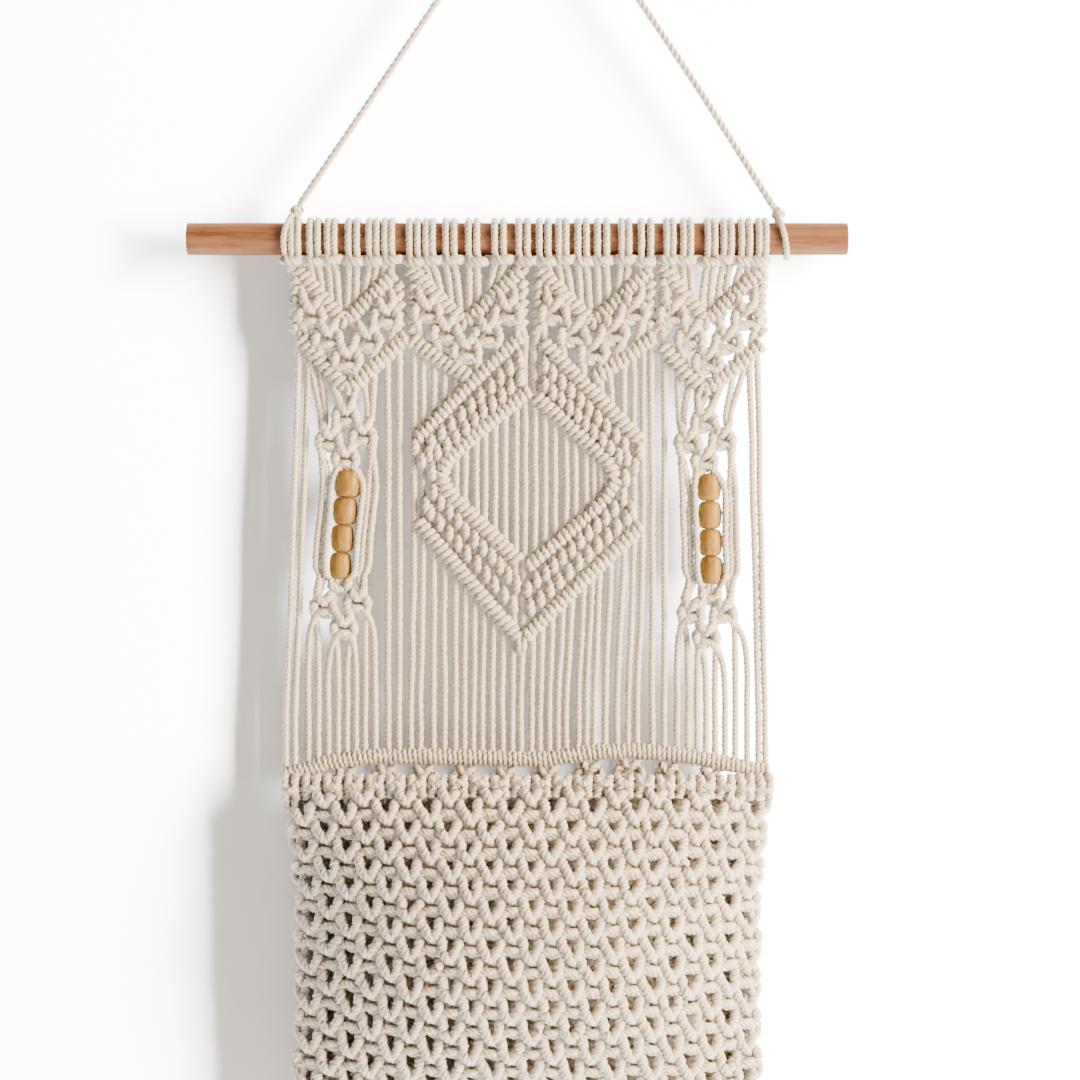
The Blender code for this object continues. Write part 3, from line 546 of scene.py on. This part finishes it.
def bar_points(corners, pitch):
    """Even stations along a line of corners (x, drop): their places, and the line's direction at each."""
    corners = np.asarray(corners, float)
    lengths = lengths_along(corners)
    count = max(2, round(lengths[-1] / pitch))
    stops = (np.arange(count) + 0.5) * lengths[-1] / count
    spots = np.column_stack([np.interp(stops, lengths, corners[:, axis]) for axis in (0, 1)])
    ways = np.gradient(spots, axis=0)
    return spots, ways / np.linalg.norm(ways, axis=1)[:, None]


def hitch_bar(corners, pitch=3.4, across=2.2, deep=2.0, radius=2.0, y=-1.2, lean=-0.6, rising=1.4, falling=1.45):
    """A bar of double half hitches: a carrier cord, and rings of the hitched cords round it."""
    spots, ways = bar_points(corners, pitch)
    cords = [([(x, y, drop) for x, drop in corners], 1.5)]
    for number, (spot, way) in enumerate(zip(spots, ways)):
        normal = np.array((-way[1], way[0]))
        slant = lean * (1.0 if number % 2 else 0.7) + jitter(0.2)
        ring = []
        grow = (falling if way[0] * way[1] > 0 else rising) + jitter(0.06)
        for angle in np.radians(np.linspace(-172.0, 172.0, 12)):
            flat = spot + normal * (across * grow * math.sin(angle)) + way * (slant * math.sin(angle))
            ring.append((flat[0], y - deep * math.cos(angle), flat[1]))
        cords.append((ring, radius * (1.0 + jitter(0.05))))
    return cords


def long_hitch(x, drop, tilt=0.3):
    """One long upright hitch of the diamond's bands."""
    tilt += jitter(0.25)
    x += jitter(0.3)
    drop += jitter(0.3)
    return ([(x - tilt, 1.2, drop - 3.2), (x - tilt, -1.2, drop - 3.6), (x - tilt * 0.4, -3.2, drop - 1.6),
             (x + tilt * 0.4, -3.4, drop + 1.4), (x + tilt, -1.7, drop + 3.5), (x + tilt, 1.2, drop + 3.0)],
            [1.5, 1.8, 2.4 + jitter(0.1), 2.45 + jitter(0.1), 1.9, 1.4])


def ridge_drop(x):
    return float(np.interp(x, *zip(*RIDGE_ARCH)))


def on_line(corners, x):
    """Drop of a zigzag or bar line at x."""
    return float(np.interp(x, *zip(*sorted(corners))))


def head_cords(left, right, number):
    """The two halves of one lark's head round the rod, down to where the strands start."""
    middle = (left + right) / 2
    reach = ROD_RADIUS + HEAD_RADIUS * 0.55
    # the pairs lean towards the panel's middle on their way down the front of the rod
    slant = float(np.interp(middle, (-116.0, -104.0, -60.0, 0.0, 50.0, 118.0), (-1.2, 0.2, 1.4, 2.0, 0.0, -1.5)))
    slant += 0.5 * math.sin(number * 2.9)
    low = middle + slant
    halves = []
    for side, x in ((-1.0, left), (1.0, right)):
        lean = jitter(0.5)
        bight = 11.0 + 0.6 * math.sin(number * 2.3)
        path = [(low, -7.4, bight + 0.9), (low + side * 3.0, -7.0, bight + 0.5),
                (low + side * 4.2, -3.6, bight - 0.2)]
        for turn in (165, 125, 90, 45, 0, -40, -75, -110, -140):
            share = min(1.0, (165 - turn) / 150)
            angle = math.radians(turn)
            bow = (lean + side * 0.4) * math.sin(math.pi * share)
            path.append(((low + side * 2.0) * (1 - share) + (x + lean * 0.3) * share + bow,
                         reach * math.sin(angle), -reach * math.cos(angle)))
        path += [(x + slant * 0.5, -4.4, 11.2), (x, -3.0, 13.6)]
        halves.append(path)
    return halves


def make_heads_and_strands():
    """The heads on the rod, and each strand's way from there through its zigzag."""
    heads, strands, starts = [], [], []
    for number, (left, right) in enumerate(HEADS):
        for path, x in zip(head_cords(left, right, number), (left, right)):
            heads.append((path, [HEAD_BIGHT_RADIUS] * 3 + [HEAD_RADIUS] * 9 + [HEAD_TAIL_RADIUS] * 2))
            starts.append(x)
    for index in range(STRANDS):
        group, rank = divmod(index, GROUP_STRANDS)
        upper = ZIGZAG_UPPER[group]
        knots = ZIGZAG_KNOTS[group]
        x_top = starts[index]
        low, high = upper[0][0] + 1.0, upper[-1][0] - 1.0
        x_bar = low + (high - low) * (rank + 0.5) / GROUP_STRANDS
        path = [(x_top, -2.8, 13.0), (x_top * 0.7 + x_bar * 0.3, -1.2, 17.0)]
        bar = on_line(upper, x_bar)
        if bar > 20.0:
            path.append((x_top * 0.3 + x_bar * 0.7, -0.4, (16.0 + bar) / 2))
        path.append((x_bar, 0.2, bar))
        # through the square knots of the zigzag, each tied with four neighbouring cords
        for tie, first_cord in ZIGZAG_TIES[rank // 2]:
            role = ROLES[rank - first_cord]
            path += knot_path(role, knots[tie], first="left" if group < 2 else "right")
        strands.append((path, index))
    return heads, strands


def strand_ways(strands):
    """Carry each strand from its zigzag down to the ridge bar."""
    cords = []
    for path, index in strands:
        group, rank = divmod(index, GROUP_STRANDS)
        foot = STRAND_FEET[index // 2][index % 2]
        lower = ZIGZAG_LOWER[group]
        foot_high = foot + (DRIFT[group - 1][rank] if group in (1, 2) else lean_in(group, rank, 55.0))
        bar = on_line(lower, foot_high)
        if group in (1, 2) and not min(c[0] for c in lower) <= foot_high <= max(c[0] for c in lower):
            bar = on_line(DIAMOND_BARS[group - 1], foot_high)
        path = list(path) + [(foot_high, 0.0, bar)]
        if group in (0, 3):
            path += side_way(group, rank, foot)
        else:
            for drop in np.arange(bar + 14.0, 250.0, 16.0):
                share = min(1.0, max(0.0, (drop - 155.0) / 75.0))
                path.append((foot_high * (1 - share) + foot * share + jitter(0.25), jitter(0.2), drop))
        path.append((foot, 0.0, ridge_drop(foot)))
        cords.append(([spot[:3] for spot in path], [strand_radius(spot) for spot in path]))
    return cords


def strand_radius(spot):
    """A knot's point (x, y, drop, radius) has its own radius; any other has its strand's."""
    if len(spot) > 3:
        return spot[3]
    return CORD_RADIUS if spot[2] > LOOSE_DROP else LOOSE_RADIUS


def lean_in(group, rank, drop):
    """How far right of its foot a strand hangs at a drop; only the outermost two of each side do."""
    return LEAN_IN.get((group, rank), 0.0) * max(0.0, LEAN_FOOT - drop) / LEAN_HEIGHT


def side_way(group, rank, foot):
    """A strand of a side group: past or through the motifs' knots, and past or through the beads."""
    side = 0 if group == 0 else 1
    top, foot_motif = MOTIF_TOPS[side], MOTIF_FEET[side]
    bead_middles = [(row[4 * side], row[4 * side + 1]) for row in BEADS]
    ties = MOTIF_TIES[rank // 2]
    first = "left" if side == 0 else "right"
    path = []
    if rank in (2, 3, 8, 9):
        knot = top[ties[0][0]]
        out = {2: -4.6, 3: -2.2, 8: 2.2, 9: 4.6}[rank]
        path += [(knot[0] + out, 0.0, knot[1] - 13.5), (knot[0] + out * 0.95, -1.0, knot[1] - 9.0)]
    for tie, first_cord in ties:
        path += knot_path(ROLES[rank - first_cord], top[tie], first, wide=0.84, above=0.8, below=0.95, y=-0.8)
    if rank in (5, 6):
        shift = -1.0 if rank == 5 else 1.0
        path += [(x + shift, 0.0, drop) for x, drop in bead_middles]
    elif 2 <= rank <= 9:
        reach, y = BESIDE_BEADS[side][(4 - rank) if rank < 5.5 else rank - 4]
        path += [(x + reach + jitter(0.2), y, drop) for x, drop in bead_middles]
        path.append((path[-1][0] * 0.85 + foot_motif[0][0] * 0.15, y, path[-1][2] + 5.0))
    else:
        path += [(foot + lean_in(group, rank, drop) + jitter(0.3), jitter(0.2), drop)
                 for drop in (100.0, 125.0, 150.0, 175.0)]
    for tie, first_cord in ties:
        path += knot_path(ROLES[rank - first_cord], foot_motif[tie], first, wide=0.84, above=0.8, below=0.9,
                          y=-0.8, table=KNOT_PATHS if tie else UNDER_BEADS)
    if ties:
        leave, way_out = path[-1][2], path[-1][0]
        path += [(way_out * 0.45 + foot * 0.55, 0.0, leave + 5.5), (way_out * 0.12 + foot * 0.88, 0.0, leave + 13.0)]
    path += [(foot + lean_in(group, rank, drop) + jitter(0.2), jitter(0.2), drop)
             for drop in (218.0, 230.0, 244.0) if drop > path[-1][2] + 6.0]
    return path


def make_zigzags():
    cords = []
    for corners in ZIGZAG_UPPER + ZIGZAG_LOWER:
        cords += hitch_bar(corners)
    for x, top, foot in CHAINS:
        cords += hitch_bar(((x, top), (x + jitter(1.0), (top + foot) / 2), (x, foot)), pitch=4.4, across=1.7,
                           deep=1.7, radius=2.2, y=-0.8, lean=2.0, rising=1.0, falling=1.0)
    return cords


def make_diamond():
    cords = []
    for corners in DIAMOND_BARS:
        cords += hitch_bar(corners, y=-1.4, rising=1.15, falling=1.25)
    for outer_start, outer_end, inner_start, inner_end, count in BANDS:
        for row, share in enumerate(ROW_SHARES):
            start = np.array(outer_start) * (1 - share) + np.array(inner_start) * share
            end = np.array(outer_end) * (1 - share) + np.array(inner_end) * share
            cords.append(([(start[0], 1.2, start[1]), (end[0], 1.2, end[1])], 2.0))
            for number in range(count):
                along = (number + 0.45 + 0.3 * row) / count
                spot = start * (1 - along) + end * along
                cords.append(long_hitch(spot[0], spot[1]))
    for x, drop in SIDE_HITCHES:
        cords.append(long_hitch(x, drop))
    for offset in (-1.8, 1.8):
        way = ((1.0, 0.5, -4.0), (0.8, -3.2, -2.0), (0.6, -3.4, 1.5), (0.3, 0.5, 4.5))
        cords.append(([(TIP[0] + offset * share, y, TIP[1] + down) for share, y, down in way], 1.9))
    return cords


def make_ridge():
    xs = np.linspace(-PANEL_WIDTH / 2, PANEL_WIDTH / 2, 25)
    return hitch_bar([(x, ridge_drop(x)) for x in xs], pitch=2.5, across=2.9, deep=2.9,
                     radius=1.75, y=-0.2, lean=0.5, rising=1.0, falling=1.0)


# ---------------------------------------------------------------------------------------------
# The two nets

def half_width(v):
    return np.interp(v, *zip(*POCKET_OUTLINE))


def front_face(u, v):
    """The inner face of the front net: u from -1 to 1 across, v from 0 to 1 down, to panel points."""
    rise = np.sin(np.pi * np.clip(v, 0.0, 1.0))
    depth = RIM_DEPTH * (1 - v) + BELLY * rise ** BULGE_DOWN
    bulge = (1 - np.minimum(1.0, np.abs(u)) ** BULGE_ACROSS) * depth
    aside = NET_ASIDE * (1 - u ** 4)
    return np.column_stack((u * half_width(v) + aside, BACK_FACE - FACE_GAP - bulge,
                            RIM_DROP + v * POCKET_HEIGHT - NET_RISE * rise))


def back_face(u, v):
    """The front face of the back net; v below 0 is the row of knots under the ridge bar."""
    x_top = u * PANEL_WIDTH / 2
    top = np.array([ridge_drop(x) for x in x_top]) - 0.8
    foot = RIM_DROP + POCKET_HEIGHT
    drop = top + (foot - top) * v
    share = np.clip((drop - RIM_DROP) / POCKET_HEIGHT, 0.0, 1.0)
    return np.column_stack((u * half_width(share), np.full(len(u), BACK_FACE), drop))


def on_surface(face, points, lift, columns, rows):
    """Net points (column, row, towards the viewer) to panel points on a surface."""
    points = np.asarray(points, float)
    u = np.sin((2 * points[:, 0] / columns - 1) * EDGE_TURN) / math.sin(EDGE_TURN)
    v = points[:, 1] / rows
    spot = face(u, v)
    across = face(u + FACE_STEP, v) - face(u - FACE_STEP, v)
    down = face(u, v + FACE_STEP) - face(u, v - FACE_STEP)
    normal = np.cross(down, across)
    normal /= np.linalg.norm(normal, axis=1)[:, None]
    normal *= -np.sign(normal[:, 1:2])
    return spot + normal * (points[:, 2:3] + lift)


def net_cords(face, rows, lift, cell_width, cell_height, first_radius, radius, wide, tall, deep, first, odd):
    """Forty-eight cords knotted row by row into a net of staggered square knots."""
    cords = []
    sway = {(row, column): (jitter(0.05), jitter(0.05), 1.0 + jitter(0.06), jitter(0.12))
            for row in range(1, rows) for column in range(1, NET_COLUMNS)}
    for index in range(STRANDS):
        path = []
        for row in range(1, rows):
            if row % 2 == odd:
                knot, role = divmod(index, 4)
                column = 2 * knot + 1
            else:
                knot, role = divmod(index - 2, 4)
                column = 2 * knot + 2
            if not 0 < column < NET_COLUMNS:
                edge = 0.25 if index in (0, STRANDS - 1) else 0.6
                column = edge if index < STRANDS / 2 else NET_COLUMNS - edge
                path += [(column, row - 0.25, 0.6, radius * 0.8), (column, row + 0.25, 0.6, radius * 0.8)]
                continue
            shift, slip, grow, turn = sway[row, column]
            for across, down, near, thick in knot_cord(ROLES[role], first):
                across, down = across * wide * grow, down * tall * grow
                path.append((column + shift + (across - turn * down) / cell_width,
                             row + slip + KNOT_SAG + (down + turn * across) / cell_height, near * deep,
                             thick * (radius if row > 1 else first_radius)))
        cords.append(path)
    return [(on_surface(face, [spot[:3] for spot in path], lift, NET_COLUMNS, rows), [spot[3] for spot in path])
            for path in cords]


def rim_heads():
    """The lark's heads that start the front net on its rim cord."""
    cords = []
    carrier = [(column, RIM_ROW, 0.0) for column in np.linspace(0.0, NET_COLUMNS, 30)]
    cords.append((on_surface(front_face, carrier, RIM_LIFT, NET_COLUMNS, NET_ROWS), 1.8))
    for head in range(NET_COLUMNS):
        for side in (-1.0, 1.0):
            way = ((0.0, 3.2, 3.9), (2.4, 3.1, 3.4), (3.9, 2.2, 0.6), (3.6, 0.4, -3.2), (3.2, -3.6, -1.0),
                   (2.6, -3.2, 2.4), (2.3, -0.6, 3.8), (2.1, 2.2, 3.0), (2.2, 5.2, 2.6), (3.2, 8.6, 2.2))
            path = [(head + 0.5 + side * across / CELL_WIDTH, RIM_ROW + down / CELL_HEIGHT, near)
                    for across, down, near in way]
            cords.append((on_surface(front_face, path, RIM_LIFT, NET_COLUMNS, NET_ROWS), 2.55))
    return cords


def make_front_net():
    return net_cords(front_face, NET_ROWS, NET_LIFT, CELL_WIDTH, CELL_HEIGHT, first_radius=2.85, radius=2.85,
                     wide=1.0, tall=1.0, deep=0.8, first="left", odd=0)


def make_back_net():
    return net_cords(back_face, NET_ROWS + 1, -BACK_LIFT, CELL_WIDTH, BACK_CELL_HEIGHT, first_radius=2.6,
                     radius=4.4, wide=1.05, tall=1.0, deep=0.35, first="right", odd=1)


def make_foot_bar():
    half = POCKET_OUTLINE[-1][1]
    foot = RIM_DROP + POCKET_HEIGHT - 1.0
    corners = [(-half, foot), (0.0, foot), (half, foot)]
    return hitch_bar(corners, pitch=2.6, across=2.6, deep=3.0, radius=1.6, y=-1.5, lean=0.25)


# ---------------------------------------------------------------------------------------------
# Hard pieces

def turned(name, profile, middle, material, slot, node, steps=40, axis="Z"):
    """A piece turned on a lathe: the closed profile of (radius, along) spun about its axis."""
    bm = bmesh.new()
    verts = [bm.verts.new((radius * MM, 0.0, along * MM)) for radius, along in profile]
    edges = [bm.edges.new(pair) for pair in zip(verts, verts[1:] + verts[:1])]
    bmesh.ops.spin(bm, geom=verts + edges, cent=(0, 0, 0), axis=(0, 0, 1), angle=2 * math.pi, steps=steps)
    bmesh.ops.remove_doubles(bm, verts=bm.verts, dist=0.005 * MM)
    bmesh.ops.recalc_face_normals(bm, faces=bm.faces)
    for vert in bm.verts:
        if axis == "X":
            vert.co = Vector((vert.co.z, vert.co.y, -vert.co.x))
        vert.co += Vector(place([middle])[0])
    for face in bm.faces:
        face.smooth = True
    mesh = bpy.data.meshes.new(name)
    bm.to_mesh(mesh)
    bm.free()
    mesh.materials.append(material)
    return shown_piece(name, mesh, slot, node)


def bead_radius(belly, share):
    """Radius of a bead at a share of its height: a barrel with its two rims rounded over."""
    rim = max(0.0, abs(2 * share - 1) - 0.86) / 0.14
    return belly * (BEAD_SHOULDER + (1 - BEAD_SHOULDER) * math.sin(math.pi * share) ** 0.6) - 0.9 * rim


def make_beads():
    for number, row in enumerate(BEADS):
        for side, (x, drop, width, height) in zip(("left", "right"), (row[:4], row[4:])):
            radius, half = width / 2, height / 2
            outer = [(bead_radius(radius, share), half * (1 - 2 * share)) for share in np.linspace(0.0, 1.0, 21)]
            profile = [(BEAD_BORE, half * 0.93)] + outer + [(BEAD_BORE, -half * 0.93)]
            turned(f"turned_bead_{side}_{number + 1}", profile, (x, 0.0, drop), BEAD_WOOD, "bead_wood",
                   f"bead_{side}_{number + 1}")


def make_rod():
    low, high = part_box("rod")
    half = (high.x - low.x) / 2 / MM
    radius = (high.z - low.z) / 2 / MM
    middle = ((high.x + low.x) / 2 / MM - PANEL_SHIFT, 0.0, 0.0)
    end = [(0.0, half), (radius - 0.6, half), (radius - 0.15, half - 0.2), (radius, half - 0.7)]
    shaft = [(radius, along) for along in (half - 1.0, *np.linspace(half - 8.0, 8.0 - half, 12), 1.0 - half)]
    profile = end + shaft + [(reach, -along) for reach, along in reversed(end)]
    turned("turned_rod", profile, middle, ROD_WOOD, "rod_wood", "rod", steps=64, axis="X")


def smooth_route(corners, step=2.0):
    """Points at an even step along a smooth curve through the corners."""
    corners = [np.array(c, float) for c in corners]
    padded = [2 * corners[0] - corners[1]] + corners + [2 * corners[-1] - corners[-2]]
    fine = []
    for before, start, end, after in zip(padded, padded[1:], padded[2:], padded[3:]):
        for t in np.linspace(0.0, 1.0, 24, endpoint=False):
            fine.append(0.5 * (2 * start + (end - before) * t + (2 * before - 5 * start + 4 * end - after) * t * t
                               + (3 * start - before - 3 * end + after) * t ** 3))
    fine = np.array(fine + [corners[-1]])
    lengths = lengths_along(fine)
    stops = np.linspace(0.0, lengths[-1], round(lengths[-1] / step) + 1)
    return np.column_stack([np.interp(stops, lengths, fine[:, axis]) for axis in range(3)]), float(lengths[-1])


def make_hanger():
    """The hanging cord, and the loop and knot at each of its ends."""
    route, length = smooth_route([(x, 0.0, -height) for x, height in CORD_ROUTE])
    laid = lay_cords("laid_hanging_cord", [(route, HANGING_DIAMETER / 2)], "hanging_cord", step=1.2, sides=12,
                     lay=HANGING_LAY)
    for side, leg, middle, tilt, rise in HANGER_KNOTS:
        # round the rod, then twice round the standing cord in a short tight coil
        loop = [(x, -reach * math.sin(math.radians(turn)), -reach * math.cos(math.radians(turn)))
                for turn, x, reach in leg]
        lean = math.radians(tilt)
        coil = []
        full = COIL_TURNS * 2 * math.pi
        for angle in np.linspace(-0.6, full + 0.6, 26):
            across, along = COIL_RADIUS * math.cos(angle), (angle / full - 0.5) * COIL_TURNS * COIL_PITCH
            coil.append((middle[0] + across * math.cos(lean) + along * math.sin(lean), -1.9 * math.sin(angle) - 0.4,
                         middle[1] + across * math.sin(lean) - along * math.cos(lean)))
        lead = [(middle[0], 0.0, middle[1] + 1.0),
                (middle[0] * 0.4 + rise[0] * 0.6, 0.0, middle[1] * 0.4 + rise[1] * 0.6),
                (rise[0], 0.0, rise[1])]
        lay_cords(f"tied_hanger_knot_{side}", [(loop, 1.6), (coil, 1.85), (lead, 1.9)],
                               f"hanger_knot_{side}", step=1.2, sides=9)
    path = place(route)


# ---------------------------------------------------------------------------------------------
# Stage

def area_light(name, place_at, aim, width, height, power, color, only=None, never=None):
    """A rectangular light; only is the one thing that it lights, never the one that it doesn't."""
    data = bpy.data.lights.new(name, "AREA")
    data.shape = "RECTANGLE"
    data.size = width
    data.size_y = height
    data.energy = power
    data.color = color
    light = new_object(name, data)
    light.location = place_at
    light.rotation_euler = (Vector(aim) - Vector(place_at)).to_track_quat("-Z", "Y").to_euler()
    if only or never:
        linked = bpy.data.collections.new(name + " linked")
        linked.objects.link(only or never)
        linked.collection_objects[0].light_linking.link_state = "INCLUDE" if only else "EXCLUDE"
        light.light_linking.receiver_collection = linked
    return light


def flat_panel(name, corners, material):
    mesh = bpy.data.meshes.new(name)
    mesh.from_pydata(corners, [], [tuple(range(len(corners)))])
    mesh.materials.append(material)
    panel = new_object(name, mesh)
    return panel


def make_stage():
    """A wall that shows only from its front, a floor, three lights and the camera."""
    paint, tree, shader = new_material("pale wall paint")
    drive(tree, shader, Base_Color=(0.86, 0.86, 0.86, 1.0), Emission_Color=(1.0, 0.98, 0.96, 1.0),
          Emission_Strength=0.12, Roughness=1.0, Specular_IOR_Level=0.0)
    behind = tree.node("ShaderNodeNewGeometry", output=6)
    clear = tree.node("ShaderNodeBsdfTransparent")
    one_sided = tree.node("ShaderNodeMixShader", None, {0: behind, 1: Wire(tree, shader.outputs[0]), 2: clear})
    tree.nodes.links.new(one_sided.socket, tree.nodes.nodes["Material Output"].inputs["Surface"])
    wide = WALL_HALF_WIDTH
    wall = flat_panel("wall", [(-wide, WALL_Y, FLOOR_Z), (wide, WALL_Y, FLOOR_Z), (wide, WALL_Y, WALL_TOP),
                               (-wide, WALL_Y, WALL_TOP)], paint)
    wall.visible_shadow = False
    wall.visible_glossy = False
    floor_paint, floor_tree, floor_shader = new_material("pale floor")
    drive(floor_tree, floor_shader, Base_Color=(0.8, 0.8, 0.79, 1.0), Roughness=0.9)
    flat_panel("floor", [(x * FLOOR_HALF, y * FLOOR_HALF, FLOOR_Z) for x, y in ((-1, -1), (1, -1), (1, 1), (-1, 1))],
               floor_paint)

    world = bpy.data.worlds.new("studio")
    world.use_nodes = True
    drive(None, world.node_tree.nodes["Background"], Color=(0.95, 0.97, 1.0, 1.0), Strength=0.12)
    bpy.context.scene.world = world

    # name, place, what it looks at, width, height, watts, colour
    area_light("key strip", (1.80, -1.08, -0.02), AIM, 0.95, 1.3, 340.0, (1.0, 0.78, 0.49), never=wall)
    area_light("wall wash", (3.90, -1.75, 0.2), AIM, 1.1, 4.0, 9000.0, (0.98, 0.99, 1.0), only=wall)
    area_light("behind", (0.4, 1.8, 0.4), AIM, 1.2, 1.2, 10.0, (1.0, 1.0, 1.0))

    camera = bpy.data.cameras.new("camera")
    camera.lens = LENS
    camera.sensor_width = 36.0
    seat = new_object("camera", camera)
    seat.location = EYE
    seat.rotation_euler = (math.radians(90.0), 0.0, 0.0)
    bpy.context.scene.camera = seat


def main():
    """Build everything in a fixed order, since all the pieces share one run of random draws."""
    make_stage()
    make_hanger()
    make_rod()
    make_beads()
    heads, strands = make_heads_and_strands()
    lay_cords("rod_heads", heads, "knotted_panel", sides=9, depth=WORN_PLY_DEPTH)
    lay_cords("strands", strand_ways(strands), "knotted_panel", depth=STRAND_PLY_DEPTH)
    lay_cords("zigzag_bars", make_zigzags(), "knotted_panel", step=1.6)
    lay_cords("diamond_bands", make_diamond(), "knotted_panel")
    lay_cords("ridge_bar", make_ridge(), "knotted_panel", step=1.7)
    lay_cords("back_net", make_back_net(), "pocket_back", step=2.2)
    net = make_front_net()
    lay_cords("front_net_left", net[:STRANDS // 2], "pocket_front", sides=9, depth=WORN_PLY_DEPTH)
    lay_cords("front_net_right", net[STRANDS // 2:], "pocket_front", sides=9, depth=WORN_PLY_DEPTH)
    lay_cords("front_rim", rim_heads(), "pocket_front")
    lay_cords("foot_bar", make_foot_bar(), "pocket_front", step=1.8)


main()
